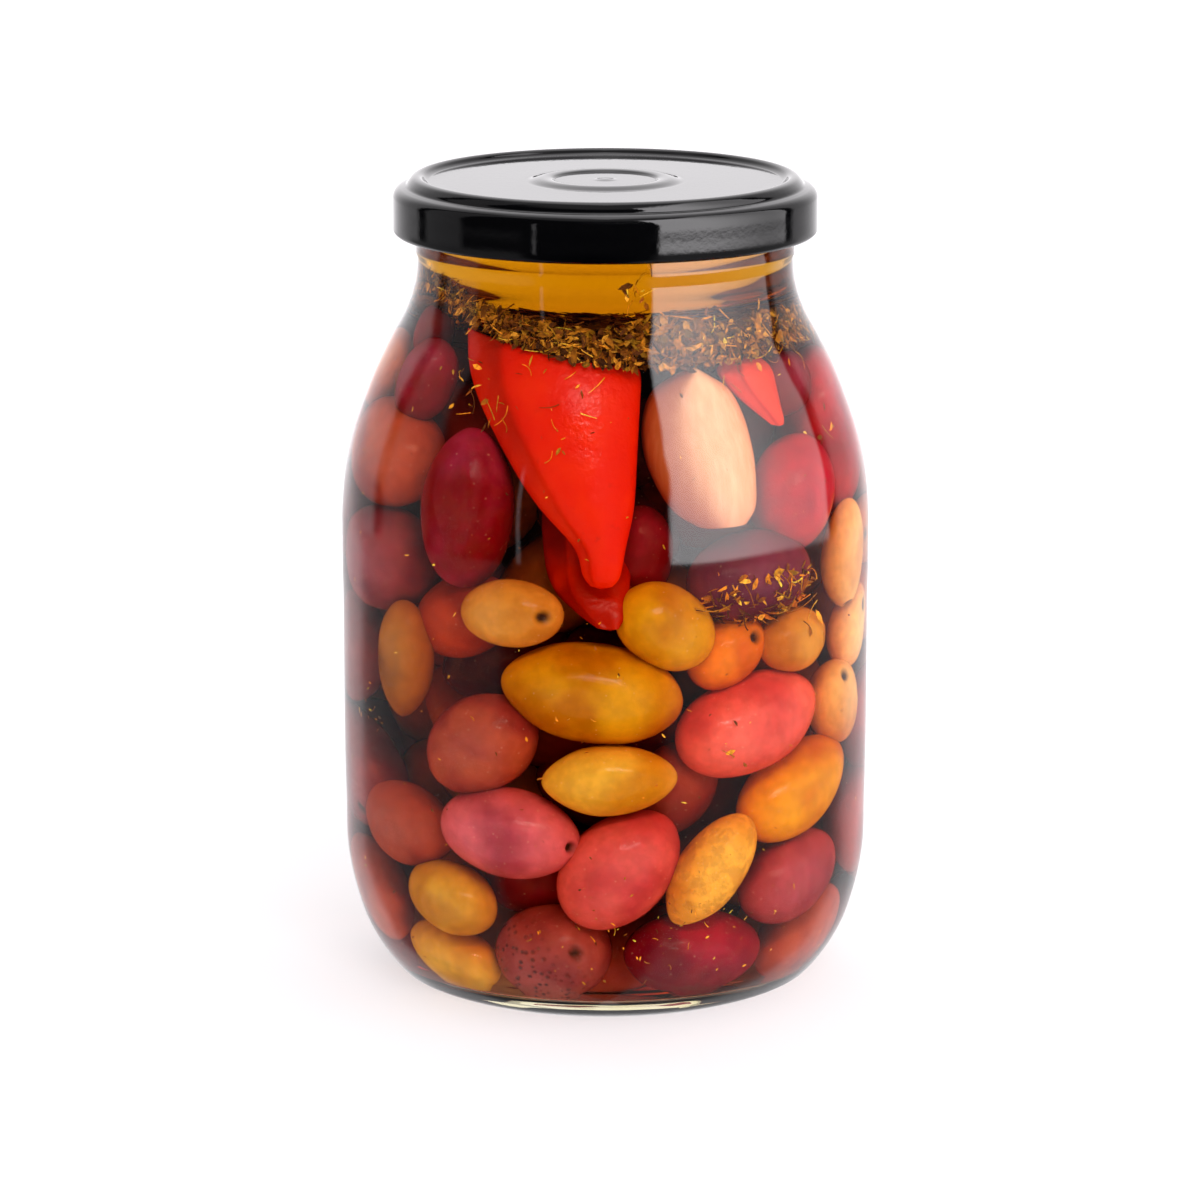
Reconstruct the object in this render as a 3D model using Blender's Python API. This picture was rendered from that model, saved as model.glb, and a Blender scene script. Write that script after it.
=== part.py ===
"""A shut one-litre glass jar of olives, with peppers, a garlic clove and herbs inside.

Everything is in metres with +Z up. The origin is the centre of the ring that the jar
stands on, and the side that faces -Y is the front. Lengths below are in millimetres
and angles in degrees. An azimuth is 0 at the front and grows towards +X.
"""

import math
from collections import namedtuple

import bmesh
import bpy
import numpy as np
from mathutils import Vector

MM = 0.001
# Edges that turn by more degrees than this stay sharp
PRESSED_SHARP = 40
HERB_SHARP = 30
HEAP_SHARP = 35
NEVER_SHARP = 180

# Jar: its outside as (height, radius), from the standing ring to under the lid
OUTSIDE = [
    (0.0, 39.3), (1.0, 41.6), (2.6, 43.4), (4.7, 45.1), (10.7, 48.7), (16.7, 50.8),
    (24.7, 52.5), (36.7, 52.9), (76.7, 53.1), (96.7, 53.1), (104.7, 52.3), (112.7, 50.5),
    (118.7, 48.4), (124.7, 46.0), (130.7, 43.0), (136.7, 39.8), (142.7, 38.0),
    (147.0, 37.6), (160.0, 37.6),
]
OUTSIDE_LEVELS = [0, 1, 4.7, 10.7, 16.7, 24.7, 36.7, 84, 96.7, 104.7, 112.7, 119, 128, 135, 140]
INSIDE_LEVELS = [142, 135, 128, 119, 112.7, 104.7, 96.7, 76, 36, 25, 18, 13, 8.5]
WALL = 2.3
HEEL_EXTRA = 1.6  # the wall is this much thicker where it meets the floor
HEEL_FADE = 8.0
STAND_INNER = 34.5  # the flat standing ring's inner radius
PUNT = 2.2  # rise of the underside's middle
PUNT_SHOULDER = (28.5, 1.5)
FLOOR_MIDDLE = 5.4
FLOOR_EDGE = (37.0, 4.8)
INSIDE_FROM = 5.6
NECK_RING_Z = 148.7
NECK_RING_OUT = 0.7
NECK_RING_HALF = 1.4
RIM_TOP = 160.9
RIM_RADIUS = 36.4
RIM_HALF = 0.5  # half the width of the rim's flat top
RIM_DROP = 0.9
JAR_SIDES = 36

# Lid: a pressed steel twist-off cap, as (radius, height)
LID_OUTSIDE = [
    (0.0, 162.3), (1.6, 162.1), (10.6, 162.1), (11.5, 162.6), (13.7, 162.6),
    (15.6, 161.95), (34.7, 161.9), (36.4, 163.1), (37.5, 163.4), (38.7, 163.0),
    (40.0, 161.4), (41.7, 160.7), (42.5, 159.2), (42.5, 153.0), (42.1, 152.1),
    (41.4, 151.9), (40.8, 152.5), (40.8, 153.1),
]
LID_INSIDE = [
    (41.6, 153.8), (41.6, 158.9), (41.0, 159.9), (39.4, 160.5), (38.3, 162.1),
    (36.9, 162.4), (35.4, 161.2), (15.2, 161.2), (12.6, 161.8), (10.9, 161.4),
    (0.0, 161.4),
]
LID_SIDES = 36
LID_LUGS = 6
LUG_REACH = 0.9
LUG_TOP = 153.5
LUG_RADII = (40.0, 41.2)  # only the rolled edge's points between these turn in

# Contents
CLEAR = 0.35  # gap between the contents' pieces, and to the glass
ROUNDING = 0.25  # the faceted glass comes this much nearer than its true curve
CORE_INSET = 11.5  # the olives' core stands this far inside the glass
CORE_NARROWING = 2.5  # and this much further in, above the height below
CORE_NARROW_FROM = 92
CORE_FLOOR = 7.0
CORE_TOP = 121.8
CORE_BULGE = 0.5  # the middles of its ends stand out this far
CORE_LEVELS = 8
CORE_SIDES = 20

# The herbs float between brine and oil: (azimuth, height) of the mat's lower and upper edge
HERB_UNDER = [
    (-180, 121.5), (-125, 127.5), (-68, 142), (-50, 138.7), (-25, 134.3), (0, 131.2),
    (20, 130.4), (50, 130.8), (70, 131), (110, 127.5), (180, 121.5),
]
HERB_OVER = [
    (-180, 126.3), (-125, 132.3), (-68, 145), (-50, 142.5), (-25, 138.9), (0, 137.6),
    (15, 139.5), (32, 138), (70, 137.5), (110, 132.5), (180, 126.3),
]
HERB_MIDDLE = (125.0, 129.8)
HERB_EDGE_RADIUS = 37.0
HERB_RELIEF = 0.9
HERB_RAGGED = 1.1
HERB_EDGE_BEVEL = 0.5
HERB_SIDES = 36
HERB_RINGS = (0.0, 0.35, 0.65, 0.87, 1.0)
HERB_SEED = 5

# The olives that show at the front. Height is the middle's, lean is the long axis's
# rise to the right, and inset is how far behind the glass the olive lies.
Olive = namedtuple("Olive", "azimuth height length width lean inset")
HERBY_OLIVE = Olive(40.5, 89.5, 27, 17.5, 3, 1)  # loose herbs lie on this one
FRONT_OLIVES = [
    Olive(-72, 110, 29, 20, 0, 0), Olive(-71, 89.5, 28, 21, 8, 0),
    Olive(-38, 102, 31, 18.5, 86, 0), Olive(-42, 80, 22, 16, 30, 3),
    Olive(-25, 83, 20.5, 13.5, 3, 0), Olive(-54, 71.5, 24, 13, 86, 0),
    Olive(17, 79, 20.5, 16, -38, 0), Olive(-3.5, 68, 34, 20.5, -8, 0),
    Olive(31, 75, 17, 13, 40, 3), Olive(51, 75, 16, 13, 0, 0),
    Olive(76, 88, 21, 13, 80, 0), Olive(78, 74.5, 18, 12.5, 60, 0),
    Olive(71, 59.5, 18, 14, -70, 0), Olive(38, 59, 31, 20, 15, 0),
    Olive(-32, 55.5, 25, 18.5, 38, 0), Olive(1, 50.5, 25.5, 14, 2, 0),
    Olive(55, 43.5, 29, 18, 22, 0), Olive(22, 47.5, 20, 15, 60, 8),
    Olive(-58, 36, 24, 16.5, -5, 0), Olive(-24, 37.5, 28, 18, -6, 0),
    Olive(4, 32.5, 27, 19.5, 48, 0), Olive(25.5, 31.5, 25, 13.5, 52, 0),
    Olive(54, 26, 25, 17, 14, 0), Olive(-42, 23.5, 20, 14, -12, 0),
    Olive(-45, 12.5, 21, 12.5, -14, 0), Olive(-15.5, 16, 22, 18.5, 10, 0),
    Olive(25, 14.5, 27, 16.5, -3, 0), Olive(64, 15.5, 24, 15, 22, 1),
    Olive(-76, 20.5, 24, 15, -30, 0), Olive(58, 101.5, 22, 18, 60, 1),
    Olive(82, 111, 31, 21, 78, 0), HERBY_OLIVE,
    Olive(-66, 122.5, 18, 13.5, 70, 0), Olive(-92, 121, 18, 14, 60, 0),
    Olive(94, 34, 24, 17, 60, 0), Olive(97, 50, 22, 15, 80, 0),
    Olive(-90, 68, 24, 15, 80, 2), Olive(10, 94, 18, 12, 85, 10),
    Olive(-20, 27, 20, 14, 10, 9), Olive(62, 122.5, 16, 12, 20, 2),
    Olive(-70, 134, 14, 9.5, 75, 1),
]
# Where dark brine shows between the front olives, this space stays free.
FRONT_GAPS = [Olive(-68, 52, 22, 15, 0, 0)]
FRONT_REACH = 100  # the hand-placed olives cover azimuths up to this, either way

# The olives round the back stand in rows of large and small ones, which then settle.
BACK_ROWS = 8
BACK_FIRST_HEIGHT = 13.5
BACK_ROW_STEP = 15.2
BACK_PER_ROW = 6
BACK_SIZES = [(29, 19.5), (21, 14), (26, 17.5), (24, 16), (31, 20), (19, 14)]
BACK_JITTER = 2.0
BACK_LEANS = (-35, 80)
BACK_SEED = 12

# Settling: pushes are shared out, and damped so that the olives come to rest
SETTLE_STEPS = 160
PUSH_SHARE = 0.4
STEP_LENGTH = 1.2
TURN_SHARE = 0.6
TURN_RETURN = 0.3  # a hand-placed olive turns back by this share of the way each step
WALL_LEVELS = (-0.8, -0.4, 0.0, 0.4, 0.8)  # where on a ball its room to the glass is read
INSET_KEPT = 0.9
FRONT_FREEDOM = 0.25  # how readily a hand-placed olive gives way, against 1 for the rest
RETURN_SHARE = 0.085
OUTWARD_DRIFT = 0.12
END_BALL = 0.86  # an olive is three balls: the end ones are this much of the middle one
END_BALL_REACH = 0.95

LARGE_OLIVE = 15.5  # olives at least this wide have a finer mesh
OLIVE_RINGS = {True: 5, False: 4}
OLIVE_SIDES = {True: 7, False: 6}
OLIVE_BLUNTNESS = 2.1
FLAKES = 20
FLAKE_SIZE = (1.7, 0.8, 0.5)  # half its length, width and thickness
FLAKE_SPREAD = 0.8  # how far round the olive's near side they reach
FLAKE_SUNK = 0.4  # share of its half thickness that a flake is sunk by
FLAKE_SEED = 8

# A wrapped piece lies along the glass. At each station its middle is at the azimuth and
# height, its width is measured along the glass, and rise lifts its right edge.
Station = namedtuple("Station", "azimuth height width thickness inset rise")
WRAPPED = {
    "pepper_front": [
        Station(-21.5, 134.2, 36, 6, 3.2, -3.4), Station(-20, 132, 42, 11, 1.6, -3.2),
        Station(-16.5, 125.5, 40, 13, 0.6, -1.6), Station(-10, 115, 30.5, 13, 0.6, -0.5),
        Station(-4.7, 105, 20.5, 11.5, 0.6, 0), Station(-1.3, 97.5, 10.5, 9, 0.6, 0),
        Station(-0.9, 92, 7, 6.5, 0.7, 0), Station(-0.8, 90, 4, 4, 1.6, 0),
    ],
    "pepper_lower": [
        Station(-7, 107.5, 8, 4, 17, 0), Station(-6.5, 104, 16, 8, 15.2, 0),
        Station(-4.5, 95, 17.8, 9, 10.6, 0), Station(-3.2, 88.5, 15.7, 9, 6, 0),
        Station(-0.8, 84.5, 10.9, 7, 3.4, 0), Station(0.9, 81.6, 4.5, 4, 2.2, 0),
    ],
    "pepper_side": [
        Station(44.5, 129.3, 9, 5, 2.8, 0.4), Station(45, 127, 13.5, 8, 1.4, 0),
        Station(46.5, 123.5, 11, 8, 1.2, 0), Station(48.5, 119.5, 6, 6, 1.4, 0),
        Station(49, 117.5, 3, 3, 2.0, 0),
    ],
    "garlic_clove": [
        Station(26, 129.2, 2.5, 2.5, 1.6, 0), Station(25.6, 127.6, 8, 7, 0.9, 0),
        Station(25.8, 124.2, 18, 13, 0.6, 0), Station(26.1, 119, 24, 16, 0.5, 0),
        Station(26.4, 113, 25.5, 17, 0.5, 0), Station(27, 107.5, 23, 16, 0.5, 0),
        Station(28.0, 103, 18.5, 13, 0.6, 0), Station(28.8, 100.4, 11, 8, 1.2, 0),
    ],
}
WRAP_RINGS = 10
WRAP_SIDES = 12
WRAP_SQUARENESS = 0.85
WRAP_TIP = 0.7
WRAP_ROOM = 0.5  # the olives stay this far from a wrapped piece


def clear_scene():
    for item in list(bpy.data.objects):
        bpy.data.objects.remove(item, do_unlink=True)


def material(name, colour, roughness, metallic=0.0, transmission=0.0):
    made = bpy.data.materials.new(name)
    made.use_nodes = True
    shader = made.node_tree.nodes["Principled BSDF"]
    shader.inputs["Base Color"].default_value = (*colour, 1.0)
    shader.inputs["Roughness"].default_value = roughness
    shader.inputs["Metallic"].default_value = metallic
    shader.inputs["Transmission Weight"].default_value = transmission
    made.diffuse_color = (*colour, 1.0)
    return made


def smooth(mesh, sharp):
    mesh.shade_smooth()
    mesh.set_sharp_from_angle(angle=math.radians(sharp))


def new_object(name, bm, look, sharp=PRESSED_SHARP):
    """A named object from a bmesh, with its normals out and its round stretches smooth."""
    bmesh.ops.recalc_face_normals(bm, faces=bm.faces)
    mesh = bpy.data.meshes.new(name)
    bm.to_mesh(mesh)
    bm.free()
    smooth(mesh, sharp)
    mesh.materials.append(look)
    made = bpy.data.objects.new(name, mesh)
    bpy.context.scene.collection.objects.link(made)
    return made


# Curves and places

def through(knots, x):
    """A smooth curve through the knots (x, y), read at x, a number or an array."""
    xs, ys = np.array(knots, float).T
    step = np.diff(xs)
    slope = np.diff(ys) / step
    tangent = np.empty(len(xs))
    tangent[1:-1] = (slope[:-1] * step[1:] + slope[1:] * step[:-1]) / (step[1:] + step[:-1])
    tangent[0], tangent[-1] = slope[0], slope[-1]
    x = np.clip(x, xs[0], xs[-1])
    i = np.clip(np.searchsorted(xs, x, side="right") - 1, 0, len(step) - 1)
    t = (x - xs[i]) / step[i]
    return (
        ys[i] * (1 + 2 * t) * (1 - t) ** 2
        + tangent[i] * step[i] * t * (1 - t) ** 2
        + ys[i + 1] * t * t * (3 - 2 * t)
        + tangent[i + 1] * step[i] * t * t * (t - 1)
    )


def glass_inside(z):
    """The jar's inner radius at height z."""
    z = np.maximum(np.asarray(z, float), INSIDE_FROM)
    slope = through(OUTSIDE, z + 0.5) - through(OUTSIDE, z - 0.5)
    thickness = WALL + HEEL_EXTRA * np.exp((INSIDE_FROM - z) / HEEL_FADE)
    return through(OUTSIDE, z) - thickness * np.sqrt(1 + slope * slope)


def contents_reach(z):
    """The largest radius that the contents may have at height z."""
    return glass_inside(z) - CLEAR - ROUNDING


def herb_face(azimuth, radius, upper):
    """The height of the herb mat's upper or lower face, before its bumps."""
    edge = through(HERB_OVER if upper else HERB_UNDER, azimuth)
    middle = HERB_MIDDLE[1] if upper else HERB_MIDDLE[0]
    share = np.minimum(radius / HERB_EDGE_RADIUS, 1.0)
    return middle + (edge - middle) * share * share


def place(azimuth, radius, height):
    """The point at an azimuth in degrees, with radius and height in millimetres."""
    a = math.radians(azimuth)
    return np.array([radius * math.sin(a), -radius * math.cos(a), height])


def azimuth_of(points):
    return np.degrees(np.arctan2(points[:, 0], -points[:, 1]))


def axis_of(olive):
    """The olive's long axis: along the glass, rising to the right by its lean."""
    a, lean = math.radians(olive.azimuth), math.radians(olive.lean)
    along = np.array([math.cos(a), math.sin(a), 0.0])
    return along * math.cos(lean) + np.array([0.0, 0.0, 1.0]) * math.sin(lean)


def unit(vectors):
    return vectors / (np.sqrt((vectors * vectors).sum(-1, keepdims=True)) + 1e-9)


# Settling the olives

def back_olives():
    """Rows of olives round the back, before they are settled."""
    rng = np.random.default_rng(BACK_SEED)
    pitch = (360 - 2 * FRONT_REACH) / BACK_PER_ROW
    made = []
    for row in range(BACK_ROWS):
        for k in range(BACK_PER_ROW):
            offset = 0.25 if row % 2 else 0.75
            azimuth = FRONT_REACH + pitch * (k + offset) + rng.uniform(-BACK_JITTER, BACK_JITTER)
            length, width = BACK_SIZES[rng.integers(len(BACK_SIZES))]
            height = BACK_FIRST_HEIGHT + row * BACK_ROW_STEP
            height += rng.uniform(-BACK_JITTER, BACK_JITTER)
            made.append(Olive(azimuth, height, length, width, rng.uniform(*BACK_LEANS), 0))
    return made


def wall_push(centre, radius, inset):
    """What brings balls back inside the glass, above the floor and below the herbs."""
    around = np.hypot(centre[:, 0], centre[:, 1]) + 1e-9
    room = np.full(len(centre), np.inf)
    for level in WALL_LEVELS:
        wall = glass_inside(centre[:, 2] + level * radius) - CLEAR
        room = np.minimum(room, wall - radius * math.sqrt(1 - level * level))
    push = np.zeros_like(centre)
    back = np.minimum(room - inset - around, 0)
    push[:, :2] = centre[:, :2] / around[:, None] * back[:, None]
    ceiling = herb_face(azimuth_of(centre), around, upper=False) - 2 * CLEAR
    push[:, 2] += np.maximum(FLOOR_MIDDLE + CLEAR + radius - centre[:, 2], 0)
    push[:, 2] -= np.maximum(centre[:, 2] + radius - ceiling, 0)
    return push


def settled(olives, held):
    """Middles and axes once the olives no longer cross. The first `held` barely move."""
    length = np.array([o.length for o in olives], float)
    width = np.array([o.width for o in olives], float)
    inset = np.array([o.inset for o in olives], float)
    middle = np.array([
        place(o.azimuth, float(glass_inside(o.height)) - CLEAR - o.width / 2 - o.inset, o.height)
        for o in olives
    ])
    start = middle.copy()
    axis = np.array([axis_of(o) for o in olives])
    first_axis = axis.copy()
    reach = (length - width) / 2 * END_BALL_REACH
    owner = np.repeat(np.arange(len(olives)), 3)
    radius = (width[:, None] / 2 * np.array([END_BALL, 1, END_BALL])).reshape(-1)
    free = np.where(np.arange(len(olives)) < held, FRONT_FREEDOM, 1.0)
    share = free[owner][:, None] / (free[owner][:, None] + free[owner][None, :])
    strangers = owner[:, None] != owner[None, :]
    at_glass = (inset == 0)[:, None]
    for _ in range(SETTLE_STEPS):
        offset = np.stack([-reach, 0 * reach, reach], 1)
        centre = (middle[:, None, :] + offset[:, :, None] * axis[:, None, :]).reshape(-1, 3)
        apart = centre[:, None, :] - centre[None, :, :]
        distance = np.sqrt((apart * apart).sum(2)) + 1e-9
        deep = np.maximum(radius[:, None] + radius[None, :] + CLEAR - distance, 0) * strangers
        push = (apart / distance[..., None] * (deep * share)[..., None]).sum(1) * PUSH_SHARE
        push += wall_push(centre, radius, inset[owner] * INSET_KEPT)
        push = push.reshape(len(olives), 3, 3)
        middle = middle + push.mean(1) * STEP_LENGTH
        turn = (push[:, 2] - push[:, 0]) / (2 * reach[:, None] + 1e-6)
        axis = unit(axis + turn * free[:, None] * TURN_SHARE)
        outward = unit(middle * np.array([1.0, 1.0, 0.0]))
        middle = middle + outward * OUTWARD_DRIFT * at_glass
        middle[:held] += (start[:held] - middle[:held]) * RETURN_SHARE
        axis[:held] += (first_axis[:held] - axis[:held]) * TURN_RETURN
    return middle, axis


# Jar and lid

def turned(profile, sides):
    """A bmesh turned round Z from (radius, height) points that start and end on the axis."""
    bm = bmesh.new()
    verts = [bm.verts.new((r * MM, 0, z * MM)) for r, z in profile]
    edges = [bm.edges.new(pair) for pair in zip(verts, verts[1:])]
    bmesh.ops.spin(
        bm, geom=verts + edges, cent=(0, 0, 0), axis=(0, 0, 1),
        angle=2 * math.pi, steps=sides, use_merge=True,
    )
    bmesh.ops.remove_doubles(bm, verts=bm.verts, dist=1e-6)
    return bm


def jar_profile():
    """From the underside's middle, out and up the outside, over the rim and down inside."""
    under = [(0.0, PUNT), PUNT_SHOULDER, (STAND_INNER, 0.0)]
    outside = [(float(through(OUTSIDE, z)), z) for z in OUTSIDE_LEVELS]
    neck_out = OUTSIDE[-1][1]
    ring = [
        (neck_out, NECK_RING_Z - NECK_RING_HALF), (neck_out + NECK_RING_OUT, NECK_RING_Z),
        (neck_out, NECK_RING_Z + NECK_RING_HALF),
    ]
    neck_in = float(glass_inside(RIM_TOP))
    rim = [
        (neck_out, RIM_TOP - RIM_DROP), (RIM_RADIUS + RIM_HALF, RIM_TOP),
        (RIM_RADIUS - RIM_HALF, RIM_TOP), (neck_in, RIM_TOP - RIM_DROP),
    ]
    inside = [(float(glass_inside(z)), z) for z in INSIDE_LEVELS + [INSIDE_FROM]]
    return under + outside + ring + rim + inside + [FLOOR_EDGE, (0.0, FLOOR_MIDDLE)]


def make_jar():
    glass = material("clear_glass", (0.93, 0.96, 0.93), 0.02, transmission=1.0)
    new_object("jar", turned(jar_profile(), JAR_SIDES), glass)


def make_lid():
    """The cap, whose rolled edge turns further in at the lugs that grip the jar's thread."""
    black = material("black_lacquer", (0.012, 0.012, 0.014), 0.12, metallic=0.2)
    bm = turned(LID_OUTSIDE + LID_INSIDE, LID_SIDES)
    for vert in bm.verts:
        radius = math.hypot(vert.co.x, vert.co.y) / MM
        if LUG_RADII[0] < radius < LUG_RADII[1] and vert.co.z < LUG_TOP * MM:
            turn = math.cos(LID_LUGS * math.atan2(vert.co.y, vert.co.x))
            share = 1 - LUG_REACH / radius * max(0.0, turn) ** 2
            vert.co.x *= share
            vert.co.y *= share
    new_object("lid", bm, black)


# Contents

def add_skin(bm, loops, ends):
    """Joins rings of points into one closed skin, with an end point beyond each end ring."""
    sides = len(loops[0])
    for lower, upper in zip(loops, loops[1:]):
        for k in range(sides):
            after = (k + 1) % sides
            bm.faces.new((lower[k], lower[after], upper[after], upper[k]))
    for loop, end in zip((loops[0], loops[-1]), ends):
        for k in range(sides):
            bm.faces.new((loop[k], loop[(k + 1) % sides], end))


def held_in(point):
    """The point, pressed back where it comes too near the glass, the floor or the herbs."""
    around = math.hypot(point[0], point[1])
    azimuth = math.degrees(math.atan2(point[0], -point[1]))
    ceiling = float(herb_face(azimuth, around, upper=False)) - CLEAR
    height = min(max(point[2], FLOOR_MIDDLE + CLEAR), ceiling)
    share = min(1.0, float(contents_reach(height)) / (around + 1e-9))
    return Vector((point[0] * share, point[1] * share, height))


def wrapped(stations, grow=0.0):
    """A bmesh that follows the glass through the stations, wide along it and flat to it."""
    along = np.linspace(0, len(stations) - 1, WRAP_RINGS)
    columns = [through(list(enumerate(column)), along) for column in zip(*stations)]
    bm = bmesh.new()
    loops = []
    for azimuth, height, width, thickness, inset, rise in zip(*columns):
        loop = []
        for k in range(WRAP_SIDES):
            turn = 2 * math.pi * k / WRAP_SIDES
            across = math.copysign(abs(math.cos(turn)) ** WRAP_SQUARENESS, math.cos(turn))
            level = height + across * rise
            outer = float(contents_reach(level)) - inset
            swing = math.degrees(across * (width / 2 + grow) / outer)
            depth = outer - thickness / 2 + math.sin(turn) * (thickness / 2 + grow)
            point = held_in(place(azimuth + swing, depth, level))
            loop.append(bm.verts.new(point * MM))
        loops.append(loop)
    ends = []
    for loop, beyond in ((loops[0], loops[1]), (loops[-1], loops[-2])):
        last = sum((v.co for v in loop), Vector()) / WRAP_SIDES / MM
        before = sum((v.co for v in beyond), Vector()) / WRAP_SIDES / MM
        tip = held_in(last + (last - before).normalized() * (WRAP_TIP + grow))
        ends.append(bm.verts.new(tip * MM))
    add_skin(bm, loops, ends)
    return bm


def herb_sheet(bm, upper, rng):
    """One uneven face of the herb mat. Returns its outer ring of points."""
    rows = []
    for share in HERB_RINGS:
        row = []
        for k in range(HERB_SIDES if share else 1):
            azimuth = 360 * k / HERB_SIDES - 180
            height = float(herb_face(azimuth, share * HERB_EDGE_RADIUS, upper))
            bump = rng.uniform(0, HERB_RELIEF) + (HERB_EDGE_BEVEL if share == 1.0 else 0.0)
            height += -bump if upper else bump
            ragged = rng.uniform(0, HERB_RAGGED)
            top = float(through(HERB_OVER, azimuth))
            radius = share * (float(contents_reach(top)) - ragged)
            row.append(bm.verts.new(Vector(place(azimuth, radius, height)) * MM))
        rows.append(row)
    for inner, outer in zip(rows, rows[1:]):
        for k in range(HERB_SIDES):
            after = (k + 1) % HERB_SIDES
            corners = [inner[k % len(inner)], outer[k], outer[after]]
            if len(inner) > 1:
                corners.append(inner[after])
            bm.faces.new(corners)
    return rows[-1]


def make_herb_layer():
    """The mat of dried herbs that floats on the brine, bumpy and with a ragged edge."""
    rng = np.random.default_rng(HERB_SEED)
    bm = bmesh.new()
    low, high = herb_sheet(bm, False, rng), herb_sheet(bm, True, rng)
    for k in range(HERB_SIDES):
        after = (k + 1) % HERB_SIDES
        bm.faces.new((low[k], low[after], high[after], high[k]))
    bmesh.ops.triangulate(bm, faces=bm.faces)
    new_object("herb_layer", bm, material("dried_herbs", (0.16, 0.11, 0.03), 0.8), HERB_SHARP)


def olive_bmesh(middle, axis, length, width):
    """One olive: a few-sided spindle, a little blunter than an ellipsoid."""
    bm = bmesh.new()
    middle, axis = Vector(middle), Vector(axis)
    across = axis.orthogonal().normalized()
    third = axis.cross(across)
    large = width >= LARGE_OLIVE
    loops = []
    for ring in range(1, OLIVE_RINGS[large]):
        t = -math.cos(math.pi * ring / OLIVE_RINGS[large])
        radius = width / 2 * math.sqrt(1 - abs(t) ** OLIVE_BLUNTNESS)
        loop = []
        for k in range(OLIVE_SIDES[large]):
            turn = 2 * math.pi * k / OLIVE_SIDES[large]
            spoke = across * math.cos(turn) + third * math.sin(turn)
            point = middle + axis * (t * length / 2) + spoke * radius
            loop.append(bm.verts.new(held_in(point) * MM))
        loops.append(loop)
    ends = [bm.verts.new(held_in(middle + axis * s * length / 2) * MM) for s in (-1, 1)]
    add_skin(bm, loops, ends)
    return bm


def flake_bmesh(olive, middle, axis, rng):
    """A lozenge of dried herb, lying on the side of the olive that faces the glass."""
    axis, middle = Vector(axis), Vector(middle)
    outward = Vector((middle.x, middle.y, 0)).normalized()
    aim = (outward + Vector(rng.uniform(-FLAKE_SPREAD, FLAKE_SPREAD, 3))).normalized()
    along = aim.dot(axis)
    across = math.sqrt(max(0.0, 1 - along * along))
    depth = 1 / math.hypot(along * 2 / olive.length, across * 2 / olive.width)
    spot = middle + aim * (depth - FLAKE_SIZE[2] * FLAKE_SUNK)
    side = aim.orthogonal().normalized()
    turn = rng.uniform(0, 2 * math.pi)
    long_way = side * math.cos(turn) + aim.cross(side) * math.sin(turn)
    ways = (long_way, aim.cross(long_way), aim)
    bm = bmesh.new()
    corner = {}
    for way, half in enumerate(FLAKE_SIZE):
        for sign in (-1, 1):
            point = held_in(spot + ways[way] * half * sign)
            corner[way, sign] = bm.verts.new(point * MM)
    for a in (-1, 1):
        for b in (-1, 1):
            for c in (-1, 1):
                bm.faces.new((corner[0, a], corner[1, b], corner[2, c]))
    return bm


def core_bmesh():
    """The solid middle of the heap, which the olives at the glass are fused to."""
    profile = [(0.0, CORE_FLOOR - CORE_BULGE)]
    for z in np.linspace(CORE_FLOOR, CORE_TOP, CORE_LEVELS):
        inset = CORE_INSET + (CORE_NARROWING if z > CORE_NARROW_FROM else 0.0)
        profile.append((float(glass_inside(z)) - inset, float(z)))
    profile.append((0.0, CORE_TOP + CORE_BULGE))
    return turned(profile, CORE_SIDES)


def boolean(target, operation, tools):
    """Joins closed bmeshes to the object, or cuts them out of it."""
    collection = bpy.data.collections.new("tools")
    bpy.context.scene.collection.children.link(collection)
    for bm in tools:
        tool = new_object("tool", bm, target.data.materials[0])
        bpy.context.scene.collection.objects.unlink(tool)
        collection.objects.link(tool)
    modifier = target.modifiers.new("join", "BOOLEAN")
    modifier.operation = operation
    modifier.operand_type = "COLLECTION"
    modifier.collection = collection
    modifier.solver = "MANIFOLD"
    graph = bpy.context.evaluated_depsgraph_get()
    mesh = bpy.data.meshes.new_from_object(target.evaluated_get(graph))
    target.modifiers.clear()
    target.data = mesh
    for item in list(collection.objects):
        bpy.data.objects.remove(item, do_unlink=True)
    bpy.data.collections.remove(collection)


def bodies_of(bm):
    """The bmesh's points, one list for each connected body, the largest last."""
    seen, bodies = set(), []
    for start in bm.verts:
        if start in seen:
            continue
        seen.add(start)
        body, waiting = [start], [start]
        while waiting:
            vert = waiting.pop()
            for edge in vert.link_edges:
                other = edge.other_vert(vert)
                if other not in seen:
                    seen.add(other)
                    body.append(other)
                    waiting.append(other)
        bodies.append(body)
    return sorted(bodies, key=len)


def keep_outer_skin(mesh):
    """Drops the heap's loose scraps, and fills its sealed hollows by removing their skins."""
    bm = bmesh.new()
    bm.from_mesh(mesh)
    for body in bodies_of(bm)[:-1]:
        bmesh.ops.delete(bm, geom=body, context="VERTS")
    bm.to_mesh(mesh)
    bm.free()
    mesh.update()


def make_olives():
    """The heap: a core with every olive at the glass fused on, and room for the rest."""
    front = FRONT_OLIVES + FRONT_GAPS
    olives = front + back_olives()
    middles, axes = settled(olives, len(front))
    rng = np.random.default_rng(FLAKE_SEED)
    pieces = []
    for olive, middle, axis in zip(olives, middles, axes):
        if olive in FRONT_GAPS:
            continue
        pieces.append(olive_bmesh(middle, axis, olive.length, olive.width))
        if olive is HERBY_OLIVE:
            pieces += [flake_bmesh(olive, middle, axis, rng) for _ in range(FLAKES)]
    heap = new_object("olives", core_bmesh(), material("olive_skin", (0.45, 0.12, 0.06), 0.25))
    boolean(heap, "UNION", pieces)
    boolean(heap, "DIFFERENCE", [wrapped(s, grow=WRAP_ROOM) for s in WRAPPED.values()])
    keep_outer_skin(heap.data)
    smooth(heap.data, HEAP_SHARP)


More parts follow.
